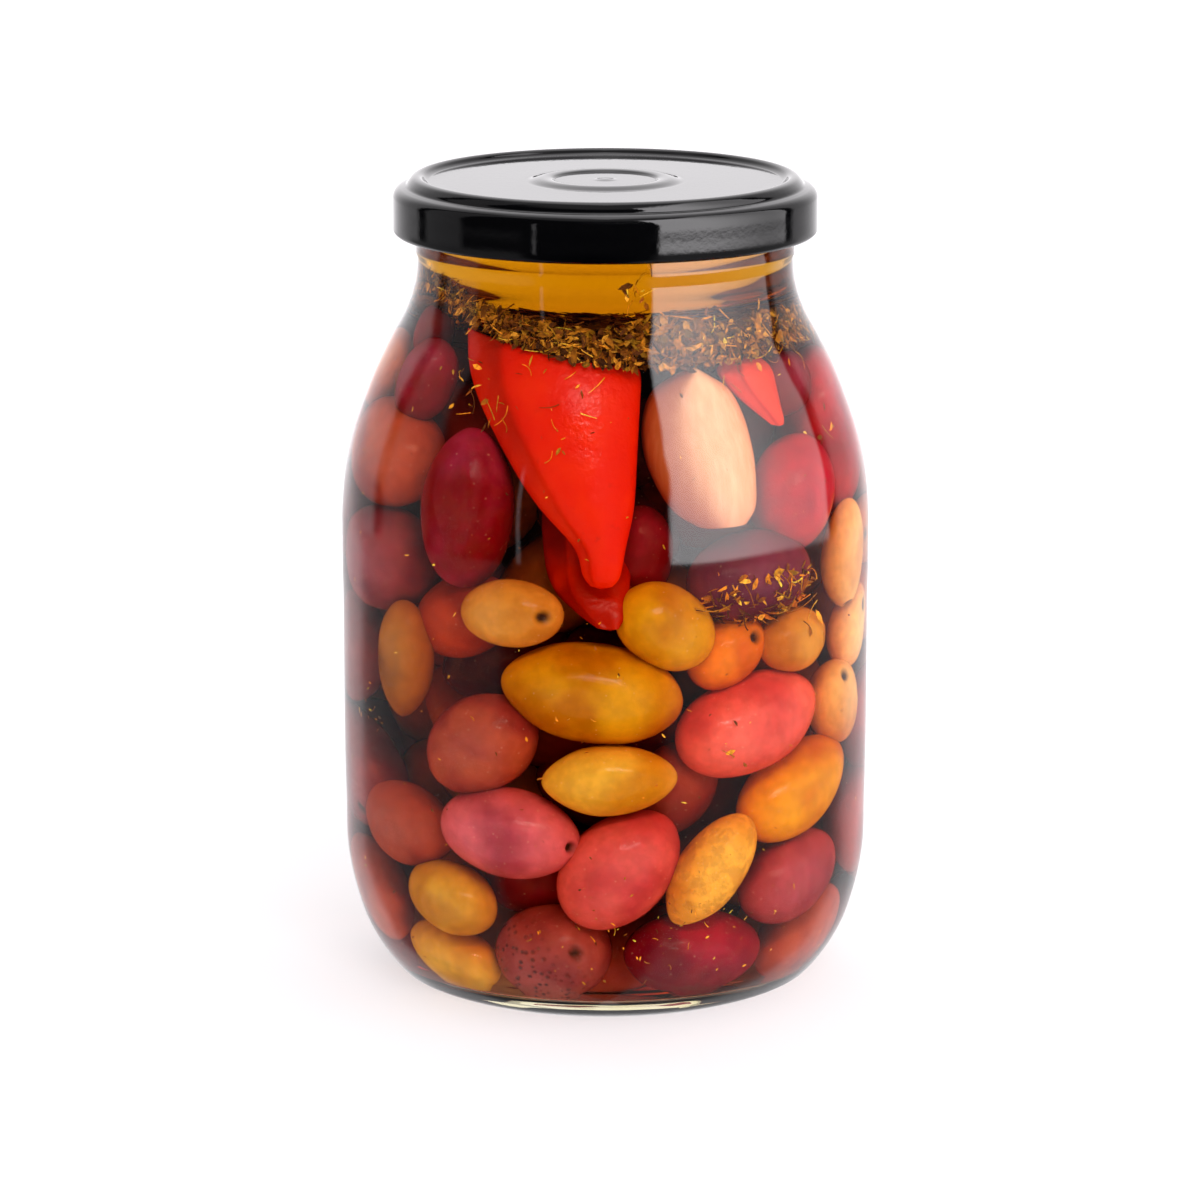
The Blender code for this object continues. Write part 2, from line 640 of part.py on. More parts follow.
def main():
    clear_scene()
    make_jar()
    make_lid()
    red = material("red_pepper", (0.72, 0.05, 0.01), 0.2)
    pale = material("garlic", (0.85, 0.6, 0.38), 0.35)
    for name, stations in WRAPPED.items():
        new_object(name, wrapped(stations), pale if name == "garlic_clove" else red, NEVER_SHARP)
    make_herb_layer()
    make_olives()


main()
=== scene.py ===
"""The looks of a shut glass jar of olives, red peppers, a garlic clove and dried herbs.

Places and sizes are in millimetres, and azimuths in degrees: 0 is the front, and they
grow towards +X. Meshes are made in metres. The olives settle by the same rule as the
solids do, so every olive here lies where its solid does.
"""

import math
from collections import namedtuple

import bpy
import numpy as np
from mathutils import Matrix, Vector

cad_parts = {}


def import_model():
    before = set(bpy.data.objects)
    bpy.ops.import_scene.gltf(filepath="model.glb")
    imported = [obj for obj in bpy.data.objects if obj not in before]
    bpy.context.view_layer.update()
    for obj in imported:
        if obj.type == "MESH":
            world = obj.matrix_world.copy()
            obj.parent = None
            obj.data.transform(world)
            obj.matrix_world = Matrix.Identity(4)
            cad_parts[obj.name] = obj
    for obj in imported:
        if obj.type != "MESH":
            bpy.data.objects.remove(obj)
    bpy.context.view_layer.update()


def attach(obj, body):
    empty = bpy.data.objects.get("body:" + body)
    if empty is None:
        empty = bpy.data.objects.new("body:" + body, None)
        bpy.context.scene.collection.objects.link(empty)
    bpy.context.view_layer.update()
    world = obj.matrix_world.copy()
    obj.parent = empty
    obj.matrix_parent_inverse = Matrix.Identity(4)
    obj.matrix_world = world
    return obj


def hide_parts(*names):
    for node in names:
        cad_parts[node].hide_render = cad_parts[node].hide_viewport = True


MM = 0.001
WHITE = (1.0, 1.0, 1.0)
BLACK = (0.0, 0.0, 0.0)

# Camera, fitted to the outline of the jar in the photograph of 1200 by 1200 pixels
PHOTO_WIDTH = 1200
CAMERA_DISTANCE = 1.100
CAMERA_HEIGHT = 0.3237
AIM_HEIGHT = 0.0767
FOCAL_PX = 5551
AIM_PX = (605.3, 597.8)
SENSOR_MM = 36.0

# Jar: its outside as (height, radius), from the standing ring to under the lid
OUTSIDE = [
    (0.0, 39.3), (1.0, 41.6), (2.6, 43.4), (4.7, 45.1), (10.7, 48.7), (16.7, 50.8),
    (24.7, 52.5), (36.7, 52.9), (76.7, 53.1), (96.7, 53.1), (104.7, 52.3), (112.7, 50.5),
    (118.7, 48.4), (124.7, 46.0), (130.7, 43.0), (136.7, 39.8), (142.7, 38.0),
    (147.0, 37.6), (160.0, 37.6),
]
WALL = 2.3
HEEL_EXTRA = 1.6
HEEL_FADE = 8.0
PUNT = 2.2
UNDERSIDE = [  # (radius, height), from the middle out to the ring it stands on
    (0.0, PUNT), (12, PUNT * 0.98), (24, PUNT * 0.85), (30, PUNT * 0.55), (33, 0.55),
    (34.3, 0.12), (34.9, 0.0), (38.0, 0.0),
]
FLOOR_MIDDLE = 5.4
FLOOR = [(37.0, 4.8), (30, 4.95), (15, 5.25), (0.0, FLOOR_MIDDLE)]
FLOOR_CORNER = [(0.9, 5.25), (2.0, 5.0)]  # (how far inside the wall's foot, height)
INSIDE_FROM = 5.6
NECK_RING_Z = 148.7
NECK_RING_OUT = 0.7
NECK_RING_SPREAD = 0.75
RIM_TOP = 160.9
RIM_RADIUS = 36.4
RIM_ROUND = 1.1
RIM_DROP = 1.2
RIM_STEPS = 8
UNDER_LID = 158.4  # where the neck's straight wall ends and the rim begins
GLASS_SIDES = 192
OUTSIDE_LEVELS = [(0.0, 6, 14), (7, UNDER_LID, 150)]  # heights from and to, and how many
INSIDE_LEVELS = (UNDER_LID, 8, 130)
FOOT_LEVELS = [7.4, 6.8, 6.3, 5.9, INSIDE_FROM]
WIDEST = 53.2  # no part of the glass reaches further out than this
GLASS_IOR = 1.5
HEEL_TINT = (0.58, 0.51, 0.26)
HEEL_TINT_FROM = 0.004  # in metres: full below this height, and gone above the next
HEEL_TINT_TO = 0.010
HEEL_STREAKS = 70.0
RIPPLES = 34.0  # the faint waves of moulded glass: their scale, and their height in metres
RIPPLE_HEIGHT = 0.0004

# Lid, as (radius, height): the outside from the middle to the rolled edge, and the inside
LID_PANEL = 162.2
LID_BUTTON = [(0.0, 0.3), (1.1, 0.24), (2.2, 0.13), (3.4, 0.1), (9.4, 0.1), (10.1, 0.12),
              (10.9, 0.5), (12.2, 0.62), (13.4, 0.5), (15.2, 0.04), (16.6, 0.0)]
LID_EDGE = [
    (34.9, 162.2), (35.5, 162.26), (36.1, 162.6), (36.7, 163.15), (37.5, 163.4),
    (38.5, 163.12), (39.3, 162.3), (39.8, 161.55), (40.5, 161.28), (41.3, 161.0),
    (42.0, 160.45), (42.4, 159.7), (42.5, 158.8), (42.5, 156.0), (42.5, 153.2),
    (42.35, 152.4), (41.8, 151.93), (41.2, 152.05), (40.85, 152.6), (41.0, 153.2),
]
LID_INSIDE = [
    (41.5, 153.7), (41.6, 155), (41.6, 158.6), (41.0, 159.8), (39.5, 160.5), (38.4, 161.9),
    (37.4, 162.4), (36.4, 161.9), (35.2, 161.25), (16, 161.2), (0.0, 161.3),
]
LID_FLAT = (25.0, 32.0)  # radii in the flat panel, between the button and the edge
LID_STEPS = (60, 90, 50)  # how many points draw the button, the edge and the inside
LID_SIDES = 192
LID_LUGS = 6
LUG_REACH = 0.9
LUG_TOP = 153.5
LUG_RADII = (40.0, 41.6)

# Contents
CLEAR = 0.35
ROUNDING = 0.25
INTO_WALL = 0.35  # the liquids reach this far into the glass, so that no air gap shows
LIQUID_OVERLAP = 0.15
LIQUID_LEVELS = 70
MEETING_SHARES = (0.05, 0.3, 0.6, 0.85, 1.0)  # the rings where brine and oil meet
BRINE_FLOOR_RADII = (2.0, 20.0, 37.0)
OIL_TOP = 158.6
BRINE = (1.36, (0.94, 0.62, 0.35), 90.0)  # refraction, the colour let through, density
OIL = (1.46, (0.92, 0.785, 0.06), 106.0)
CORE_INSET = 25.0
CORE_FLOOR = 7.0
CORE_TOP = 118.5
CORE_LEVELS = 24
CORE_SIDES = 64

# The herbs float between brine and oil: (azimuth, height) of the mat's lower and upper edge
HERB_UNDER = [
    (-180, 121.5), (-125, 127.5), (-68, 142), (-50, 138.7), (-25, 134.3), (0, 131.2),
    (20, 130.4), (50, 130.8), (70, 131), (110, 127.5), (180, 121.5),
]
HERB_OVER = [
    (-180, 126.3), (-125, 132.3), (-68, 145), (-50, 142.5), (-25, 138.9), (0, 137.6),
    (15, 139.5), (32, 138), (70, 137.5), (110, 132.5), (180, 126.3),
]
HERB_MIDDLE = (125.0, 129.8)
HERB_EDGE_RADIUS = 37.0

# The olives that show at the front, as the solids have them
Olive = namedtuple("Olive", "azimuth height length width lean inset")
HERBY_OLIVE = Olive(40.5, 89.5, 27, 17.5, 3, 1)
FRONT_OLIVES = [Olive(*row) for row in (
    (-72, 110, 29, 20, 0, 0), (-71, 89.5, 28, 21, 8, 0), (-38, 102, 31, 18.5, 86, 0),
    (-42, 80, 22, 16, 30, 3), (-25, 83, 20.5, 13.5, 3, 0), (-54, 71.5, 24, 13, 86, 0),
    (17, 79, 20.5, 16, -38, 0), (-3.5, 68, 34, 20.5, -8, 0), (31, 75, 17, 13, 40, 3),
    (51, 75, 16, 13, 0, 0), (76, 88, 21, 13, 80, 0), (78, 74.5, 18, 12.5, 60, 0),
    (71, 59.5, 18, 14, -70, 0), (38, 59, 31, 20, 15, 0), (-32, 55.5, 25, 18.5, 38, 0),
    (1, 50.5, 25.5, 14, 2, 0), (55, 43.5, 29, 18, 22, 0), (22, 47.5, 20, 15, 60, 8),
    (-58, 36, 24, 16.5, -5, 0), (-24, 37.5, 28, 18, -6, 0), (4, 32.5, 27, 19.5, 48, 0),
    (25.5, 31.5, 25, 13.5, 52, 0), (54, 26, 25, 17, 14, 0), (-42, 23.5, 20, 14, -12, 0),
    (-45, 12.5, 21, 12.5, -14, 0), (-15.5, 16, 22, 18.5, 10, 0), (25, 14.5, 27, 16.5, -3, 0),
    (64, 15.5, 24, 15, 22, 1), (-76, 20.5, 24, 15, -30, 0), (58, 101.5, 22, 18, 60, 1),
    (82, 111, 31, 21, 78, 0), HERBY_OLIVE, (-66, 122.5, 18, 13.5, 70, 0),
    (-92, 121, 18, 14, 60, 0), (94, 34, 24, 17, 60, 0), (97, 50, 22, 15, 80, 0),
    (-90, 68, 24, 15, 80, 2), (10, 94, 18, 12, 85, 10), (-20, 27, 20, 14, 10, 9),
    (62, 122.5, 16, 12, 20, 2), (-70, 134, 14, 9.5, 75, 1),
)]
FRONT_GAPS = [Olive(-68, 52, 22, 15, 0, 0)]
FRONT_REACH = 100

BACK_ROWS = 8
BACK_FIRST_HEIGHT = 13.5
BACK_ROW_STEP = 15.2
BACK_PER_ROW = 6
BACK_SIZES = [(29, 19.5), (21, 14), (26, 17.5), (24, 16), (31, 20), (19, 14)]
BACK_JITTER = 2.0
BACK_LEANS = (-35, 80)
BACK_SEED = 12

SETTLE_STEPS = 160
PUSH_SHARE = 0.4
STEP_LENGTH = 1.2
TURN_SHARE = 0.6
TURN_RETURN = 0.3
WALL_LEVELS = (-0.8, -0.4, 0.0, 0.4, 0.8)
INSET_KEPT = 0.9
FRONT_FREEDOM = 0.25
RETURN_SHARE = 0.085
OUTWARD_DRIFT = 0.12
END_BALL = 0.86
END_BALL_REACH = 0.95
OLIVE_BLUNTNESS = 2.1
POINTED = 0.30  # how much of its girth an olive's pointed end loses
LIP_HEIGHT = 0.16

# How each front olive looks. hole is the end with the stem's hole, and turn is how far
# that hole faces the glass. points are how pointed the lower and the upper end are.
Look = namedtuple("Look", "skin points hole turn", defaults=((0, 0), 0, 0))
FRONT_LOOKS = [
    Look("brick", (0.1, 0.1)), Look("plum", (0, 0.2)), Look("wine", (0.1, 0.5)), Look("rust"),
    Look("ochre", (0, 0.2), 1, 38), Look("bronze", (0.9, 0)), Look("honey"),
    Look("honey", (0.7, 0.3)), Look("orange", (0, 0), 1, 50), Look("ochre", (0, 0), 1, 35),
    Look("tan", (0, 0), -1, 15), Look("tan", (0, 0), 1, 60), Look("tan", (0, 0), -1, 45),
    Look("coral", (0, 0.3)), Look("brick", (0.1, 0.3), -1, 10), Look("straw", (0.8, 0.6)),
    Look("amber", (0, 0.2)), Look("umber"), Look("umber", (0, 0.1)),
    Look("pink", (0, 0.3), 1, 15), Look("salmon", (0, 0.4)), Look("nut", (0.9, 0.1)),
    Look("dusky", (0.2, 0)), Look("straw", (0.1, 0.1)), Look("straw", (0.3, 0)),
    Look("speckled", (0, 0), 1, 55), Look("crimson", (0.1, 0.1)), Look("brick"), Look("brick"),
    Look("scarlet", (0, 0.2)), Look("scarlet", (0.2, 0)), Look("violet"), Look("wine"),
    Look("orange"), Look("rose"), Look("rose"), Look("plum"), Look("wine"), Look("wine"),
    Look("wine"), Look("wine"),
]
SKINS = {  # each skin's colour as seen in plain light, and the second colour it clouds to
    "brick": ((186, 82, 52), (146, 46, 40)), "plum": ((150, 58, 68), (112, 24, 46)),
    "wine": ((120, 5, 12), (146, 28, 56)), "rust": ((186, 68, 28), (132, 34, 16)),
    "ochre": ((216, 140, 48), (186, 102, 16)), "bronze": ((164, 96, 22), (120, 62, 8)),
    "honey": ((208, 140, 8), (172, 94, 2)), "amber": ((232, 152, 12), (200, 104, 0)),
    "orange": ((232, 132, 26), (196, 82, 12)), "tan": ((252, 192, 104), (228, 148, 58)),
    "coral": ((240, 98, 82), (208, 62, 56)), "straw": ((222, 160, 44), (194, 120, 12)),
    "rose": ((190, 72, 74), (142, 30, 44)), "nut": ((240, 168, 54), (204, 122, 18)),
    "speckled": ((160, 66, 58), (122, 34, 38)), "crimson": ((164, 14, 40), (112, 3, 24)),
    "scarlet": ((200, 34, 54), (156, 18, 46)), "pink": ((214, 92, 98), (160, 48, 62)),
    "violet": ((112, 40, 60), (74, 14, 40)), "salmon": ((218, 86, 78), (184, 52, 52)),
    "umber": ((160, 64, 42), (126, 38, 30)), "dusky": ((168, 62, 68), (124, 24, 38)),
}
YELLOW_SKINS = ("ochre", "bronze", "honey", "amber", "orange", "tan", "straw", "nut")
BACK_SKINS = ["brick", "rose", "straw", "wine", "amber", "plum", "coral", "tan", "crimson",
              "ochre", "rust", "orange"]
DARK_SIDE = 128  # the olives at the left edge are dark ones, up to this azimuth
DARK_SKINS = ["wine", "plum", "crimson"]
FRONT_MESH = (44, 44)
BACK_MESH = (26, 26)
INNER_MESH = (12, 12)
HOLE_RADIUS = 1.25
HOLE_DEPTH = 1.1

# The second layer of olives, seen dimly between the first ones
INNER_ROWS = 8
INNER_PER_ROW = 9
INNER_FIRST_HEIGHT = 16
INNER_ROW_STEP = 13.8
INNER_INSET = 25.5
INNER_SIZE = (24, 16)
INNER_SEED = 31
INNER_SHADE = 0.4

# The pieces that lie along the glass, as the solids have them. Each row is a station along
# the piece: azimuth, height, width, thickness, inset and rise.
WRAPPED = {
    "pepper_front": [
        (-21.5, 134.2, 36, 6, 3.2, -3.4), (-20, 132, 42, 11, 1.6, -3.2),
        (-16.5, 125.5, 40, 13, 0.6, -1.6), (-10, 115, 30.5, 13, 0.6, -0.5),
        (-4.7, 105, 20.5, 11.5, 0.6, 0), (-1.3, 97.5, 10.5, 9, 0.6, 0),
        (-0.9, 92, 7, 6.5, 0.7, 0), (-0.8, 90, 4, 4, 1.6, 0),
    ],
    "pepper_lower": [
        (-7, 107.5, 8, 4, 17, 0), (-6.5, 104, 16, 8, 15.2, 0),
        (-4.5, 95, 17.8, 9, 10.6, 0), (-3.2, 88.5, 15.7, 9, 6, 0),
        (-0.8, 84.5, 10.9, 7, 3.4, 0), (0.9, 81.6, 4.5, 4, 2.2, 0),
    ],
    "pepper_side": [
        (44.5, 129.3, 9, 5, 2.8, 0.4), (45, 127, 13.5, 8, 1.4, 0),
        (46.5, 123.5, 11, 8, 1.2, 0), (48.5, 119.5, 6, 6, 1.4, 0),
        (49, 117.5, 3, 3, 2.0, 0),
    ],
    "garlic_clove": [
        (26, 129.2, 2.5, 2.5, 1.6, 0), (25.6, 127.6, 8, 7, 0.9, 0),
        (25.8, 124.2, 18, 13, 0.6, 0), (26.1, 119, 24, 16, 0.5, 0),
        (26.4, 113, 25.5, 17, 0.5, 0), (27, 107.5, 23, 16, 0.5, 0),
        (28.0, 103, 18.5, 13, 0.6, 0), (28.8, 100.4, 11, 8, 1.2, 0),
    ],
}
# Each pepper's own colour, and the darker colour of its facet, which is painted shade.
PEPPER_TONES_AND_FACET_SHADE = {  # the face towards the front, and the facet that turns away
    "pepper_front": ((218, 26, 1), (144, 22, 2)), "pepper_lower": ((160, 16, 1), (112, 8, 1)),
    "pepper_side": ((236, 60, 20), (190, 30, 8)),
}
FACET_DEPTH = 2.2  # how far the facet on the pepper's left falls away
FURROW_DEPTH = 0.55
# How much red, green and blue the clove keeps on its darker left side.
CLOVE_DARKER_LEFT = (0.48, 0.22, 0.12)
CLOVE_LOW_END = (0.05, 0.22, 0.25)  # what the clove loses of red, green and blue below
# Painted shade: how much the clove loses towards its edges, which leaves its middle lighter.
CLOVE_EDGE_SHADE = (0.05, 0.28, 0.4)  # and towards its edges
WRAP_SQUARENESS = 0.85
WRAP_TIP = 0.7
WRAP_MESH = (90, 96)

# Colours within the looks, in linear light
LACQUER = (0.0012, 0.0012, 0.0016)
PORES = (0.95, 0.62, 0.36)
SPECKS = (0.075, 0.016, 0.014)
WRINKLES = (0.30, 0.10, 0.015)
# Painted shade in the stem's hole.
STEM_HOLE_SHADE = (0.035, 0.012, 0.006)
PEPPER_CLOUDS = (0.84, 0.03, 0.001)
PEPPER_BLOTCHES = (0.38, 0.012, 0.003)
CLOVE_STREAKS = ((0.80, 0.40, 0.19), (0.88, 0.51, 0.29))
CLOVE_CLOUDS = (0.80, 0.34, 0.11)
# Painted shade: the near-black colours of the heap's dark core.
PAINTED_DEEP_SHADE = ((0.006, 0.001, 0.001), (0.04, 0.006, 0.006))

# Herbs
LEAF_COLOURS = [(112, 58, 8), (140, 80, 12), (88, 42, 8), (168, 100, 20), (66, 32, 6),
                (196, 128, 36), (122, 80, 12)]
MAT_FLAKES_EDGE = 4200
MAT_FLAKES_FACE = 1500
MAT_FACE_RADIUS = 33.5
MAT_STEMS = 420
BED_SHRINK = 0.5
BED_RINGS = [(0.05, 1), (0.4, 1), (0.75, 1), (0.93, 0.75), (0.93, 0.25), (0.75, 0), (0.4, 0),
             (0.05, 0)]  # each ring's share of the radius, and of the way up
# The bed's colour above where oil meets brine, and the darker colour below, which is painted shade
# under the mat.
BED_LIT_AND_SHADED_COLOURS = ((150, 96, 24), (46, 30, 12))
HERBY_PIECES = 130
DRIFTING_FLAKES = 420
HERB_SEED = 5
HERB_CLUSTERS = [  # azimuth, height, spread, count and size of flakes
    (-31, 122.5, 2.6, 12, 2.0), (-12, 116, 1.2, 3, 1.6), (10, 146, 2.6, 16, 2.0),
    (-14, 128.5, 4.0, 14, 1.8), (36, 134, 3.0, 14, 2.0), (55, 133, 3.0, 12, 2.0),
    (64, 112, 2.4, 6, 1.8), (4, 23, 6.0, 26, 0.7), (-66, 58, 3.0, 16, 0.8), (25, 20, 7.0, 20, 0.7),
    (50, 79, 1.6, 4, 2.4), (29, 54, 2.0, 4, 1.6), (-8, 62, 3.0, 4, 1.4), (-40, 128, 3.0, 10, 1.6),
]

# Light. What the jar and the lid mirror: soft lights by azimuth, elevation, edge and radiance
Box = namedtuple("Box", "left right low high edge radiance")
SOFTBOXES = [
    Box(29, 114, -11, 66, 1.5, 5.2), Box(-39.5, -37.5, -40, 20, 0.8, 0.9),
    Box(-113, -84, -40, 66, 3, 0.28),
]
BOX_SOFTNESS = 4.0  # how softly the boxes end above and below, in degrees
KEY_FADE = (50, 106, 0.34)  # the right softbox falls off between these azimuths to this share
TABLE_LIGHT = [  # what lies below the horizon, as (azimuth, radiance)
    (-180, 0.9), (-140, 0.8), (-124, 0.25), (-95, 0.22), (-50, 0.2), (-42, 0.02), (22, 0.02),
    (34, 0.3), (95, 0.3), (112, 0.3), (125, 0.5), (140, 0.9), (180, 0.9),
]
TABLE_FROM = (-8, -12)
TABLE_HALF = 12000
TABLE_COLOUR = (0.50, 0.485, 0.50)
TABLE_GLOW = (1.0, 0.98, 0.99)
TABLE_GLOW_STRENGTH = 0.5
TABLE_DROP = 0.05  # keeps the table just clear of the jar
MIRROR_TINT = (1.0, 0.975, 1.0)
BACKDROP = 1.55
BACKDROP_SIDE = 0.6
BACKDROP_FROM = 121  # degrees from the front, either way
BACKDROP_EDGE = 3
BACKDROP_GROWS = (130, 175)
OVERHEAD = 0.35
OVERHEAD_FROM = 62
OVERHEAD_EDGE = 8
FRONT_DARK = 0.015
# The light on everything else: an even one, more from the right, left and back, and a lamp
SOFT_LIGHT = 0.34
SOFT_KEY = 1.1
SOFT_FILL = 0.26
SOFT_LAMP = 70.0
SOFT_BACK = 1.2
KEY_SPAN = (15, 105, 12)  # azimuth from and to, and how softly it ends
FILL_SPAN = (-110, -25, 12)
LAMP_SPAN = (-10, 30, 1.5)
LAMP_RISE = (41, 43, 0.5)


# Curves and places, as in the solids

def through(knots, x):
    """A smooth curve through the knots (x, y), read at x, a number or an array."""
    xs, ys = np.array(knots, float).T
    step = np.diff(xs)
    slope = np.diff(ys) / step
    tangent = np.empty(len(xs))
    tangent[1:-1] = (slope[:-1] * step[1:] + slope[1:] * step[:-1]) / (step[1:] + step[:-1])
    tangent[0], tangent[-1] = slope[0], slope[-1]
    x = np.clip(x, xs[0], xs[-1])
    i = np.clip(np.searchsorted(xs, x, side="right") - 1, 0, len(step) - 1)
    t = (x - xs[i]) / step[i]
    return (
        ys[i] * (1 + 2 * t) * (1 - t) ** 2
        + tangent[i] * step[i] * t * (1 - t) ** 2
        + ys[i + 1] * t * t * (3 - 2 * t)
        + tangent[i + 1] * step[i] * t * t * (t - 1)
    )


def glass_inside(z):
    """The jar's inner radius at height z."""
    z = np.maximum(np.asarray(z, float), INSIDE_FROM)
    slope = through(OUTSIDE, z + 0.5) - through(OUTSIDE, z - 0.5)
    thickness = WALL + HEEL_EXTRA * np.exp((INSIDE_FROM - z) / HEEL_FADE)
    return through(OUTSIDE, z) - thickness * np.sqrt(1 + slope * slope)


def contents_reach(z):
    """How far out the contents may lie at height z."""
    return glass_inside(z) - CLEAR - ROUNDING


def herb_face(azimuth, radius, upper):
    """The height of the herb mat's upper or lower face."""
    edge = through(HERB_OVER if upper else HERB_UNDER, azimuth)
    middle = HERB_MIDDLE[1] if upper else HERB_MIDDLE[0]
    share = np.minimum(radius / HERB_EDGE_RADIUS, 1.0)
    return middle + (edge - middle) * share * share


def place(azimuth, radius, height):
    """Points at azimuths in degrees, with radius and height in millimetres."""
    a = np.radians(azimuth)
    return np.stack(np.broadcast_arrays(radius * np.sin(a), -radius * np.cos(a), height), -1)


def from_axis(points):
    """How far out the points lie, and never quite 0."""
    return np.hypot(points[..., 0], points[..., 1]) + 1e-9


def azimuth_of(points):
    return np.degrees(np.arctan2(points[..., 0], -points[..., 1]))


def axis_of(olive):
    """The olive's long axis: along the glass, rising to the right by its lean."""
    a, lean = math.radians(olive.azimuth), math.radians(olive.lean)
    along = np.array([math.cos(a), math.sin(a), 0.0])
    return along * math.cos(lean) + np.array([0.0, 0.0, 1.0]) * math.sin(lean)


def unit(vectors):
    return vectors / (np.sqrt((vectors * vectors).sum(-1, keepdims=True)) + 1e-9)


def outward_at(middle):
    return unit(np.array([middle[0], middle[1], 0.0]))


def held_in(points):
    """The points, pressed back where they come too near the glass, the floor or the herbs."""
    around = from_axis(points)
    ceiling = herb_face(azimuth_of(points), around, upper=False) - CLEAR
    height = np.minimum(np.maximum(points[..., 2], FLOOR_MIDDLE + CLEAR), ceiling)
    share = np.minimum(1.0, contents_reach(height) / around)
    return np.stack([points[..., 0] * share, points[..., 1] * share, height], -1)


def back_olives():
    """Rows of olives round the back, before they are settled."""
    rng = np.random.default_rng(BACK_SEED)
    pitch = (360 - 2 * FRONT_REACH) / BACK_PER_ROW
    made = []
    for row in range(BACK_ROWS):
        for k in range(BACK_PER_ROW):
            offset = 0.25 if row % 2 else 0.75
            azimuth = FRONT_REACH + pitch * (k + offset) + rng.uniform(-BACK_JITTER, BACK_JITTER)
            length, width = BACK_SIZES[rng.integers(len(BACK_SIZES))]
            height = BACK_FIRST_HEIGHT + row * BACK_ROW_STEP
            height += rng.uniform(-BACK_JITTER, BACK_JITTER)
            made.append(Olive(azimuth, height, length, width, rng.uniform(*BACK_LEANS), 0))
    return made


def wall_push(centre, radius, inset):
    """What brings balls back inside the glass, above the floor and below the herbs."""
    around = from_axis(centre)
    room = np.full(len(centre), np.inf)
    for level in WALL_LEVELS:
        wall = glass_inside(centre[:, 2] + level * radius) - CLEAR
        room = np.minimum(room, wall - radius * math.sqrt(1 - level * level))
    push = np.zeros_like(centre)
    back = np.minimum(room - inset - around, 0)
    push[:, :2] = centre[:, :2] / around[:, None] * back[:, None]
    ceiling = herb_face(azimuth_of(centre), around, upper=False) - 2 * CLEAR
    push[:, 2] += np.maximum(FLOOR_MIDDLE + CLEAR + radius - centre[:, 2], 0)
    push[:, 2] -= np.maximum(centre[:, 2] + radius - ceiling, 0)
    return push


def settled(olives, held):
    """Middles and axes once the olives no longer cross. The first `held` barely move."""
    length = np.array([o.length for o in olives], float)
    width = np.array([o.width for o in olives], float)
    inset = np.array([o.inset for o in olives], float)
    middle = np.array([
        place(o.azimuth, float(glass_inside(o.height)) - CLEAR - o.width / 2 - o.inset, o.height)
        for o in olives
    ])
    start = middle.copy()
    axis = np.array([axis_of(o) for o in olives])
    first_axis = axis.copy()
    reach = (length - width) / 2 * END_BALL_REACH
    owner = np.repeat(np.arange(len(olives)), 3)
    radius = (width[:, None] / 2 * np.array([END_BALL, 1, END_BALL])).reshape(-1)
    free = np.where(np.arange(len(olives)) < held, FRONT_FREEDOM, 1.0)
    share = free[owner][:, None] / (free[owner][:, None] + free[owner][None, :])
    strangers = owner[:, None] != owner[None, :]
    at_glass = (inset == 0)[:, None]
    for _ in range(SETTLE_STEPS):
        offset = np.stack([-reach, 0 * reach, reach], 1)
        centre = (middle[:, None, :] + offset[:, :, None] * axis[:, None, :]).reshape(-1, 3)
        apart = centre[:, None, :] - centre[None, :, :]
        distance = np.sqrt((apart * apart).sum(2)) + 1e-9
        deep = np.maximum(radius[:, None] + radius[None, :] + CLEAR - distance, 0) * strangers
        push = (apart / distance[..., None] * (deep * share)[..., None]).sum(1) * PUSH_SHARE
        push += wall_push(centre, radius, inset[owner] * INSET_KEPT)
        push = push.reshape(len(olives), 3, 3)
        middle = middle + push.mean(1) * STEP_LENGTH
        turn = (push[:, 2] - push[:, 0]) / (2 * reach[:, None] + 1e-6)
        axis = unit(axis + turn * free[:, None] * TURN_SHARE)
        outward = unit(middle * np.array([1.0, 1.0, 0.0]))
        middle = middle + outward * OUTWARD_DRIFT * at_glass
        middle[:held] += (start[:held] - middle[:held]) * RETURN_SHARE
        axis[:held] += (first_axis[:held] - axis[:held]) * TURN_RETURN
    return middle, axis


# Meshes

def make(name, points, faces, looks, colours=None, sharp=None):
    """A mesh object from points in millimetres. colours maps attribute names to values."""
    mesh = bpy.data.meshes.new(name)
    mesh.from_pydata((np.asarray(points) * MM).tolist(), [], faces)
    mesh.validate()
    mesh.shade_smooth()
    if sharp is not None:
        mesh.set_sharp_from_angle(angle=math.radians(sharp))
    for look in looks:
        mesh.materials.append(look)
    for attribute, values in (colours or {}).items():
        layer = mesh.color_attributes.new(attribute, "FLOAT_COLOR", "POINT")
        rgba = np.ones((len(values), 4), np.float32)
        rgba[:, :3] = values
        layer.data.foreach_set("color", rgba.ravel())
    made = bpy.data.objects.new(name, mesh)
    bpy.context.scene.collection.objects.link(made)
    return made


def turned(profile, sides):
    """Points and faces of (radius, height) points turned round Z, ends on the axis."""
    inner = profile[1:-1]
    turn = np.linspace(0, 2 * math.pi, sides, endpoint=False)
    ring = np.array([[(r * math.sin(a), -r * math.cos(a), z) for a in turn] for r, z in inner])
    return skin_over(ring, (0, 0, profile[0][1]), (0, 0, profile[-1][1]))


def skin_over(rings, first, last):
    """A closed skin over rings of points, with one point beyond each end ring."""
    count, sides = rings.shape[:2]
    points = np.concatenate([rings.reshape(-1, 3), [first], [last]])
    faces = []
    for i in range(count - 1):
        for k in range(sides):
            after = (k + 1) % sides
            low, high = i * sides, (i + 1) * sides
            faces.append((low + k, low + after, high + after, high + k))
    end = count * sides
    for k in range(sides):
        after = (k + 1) % sides
        faces.append((after, k, end))
        faces.append(((count - 1) * sides + k, (count - 1) * sides + after, end + 1))
    return points, faces


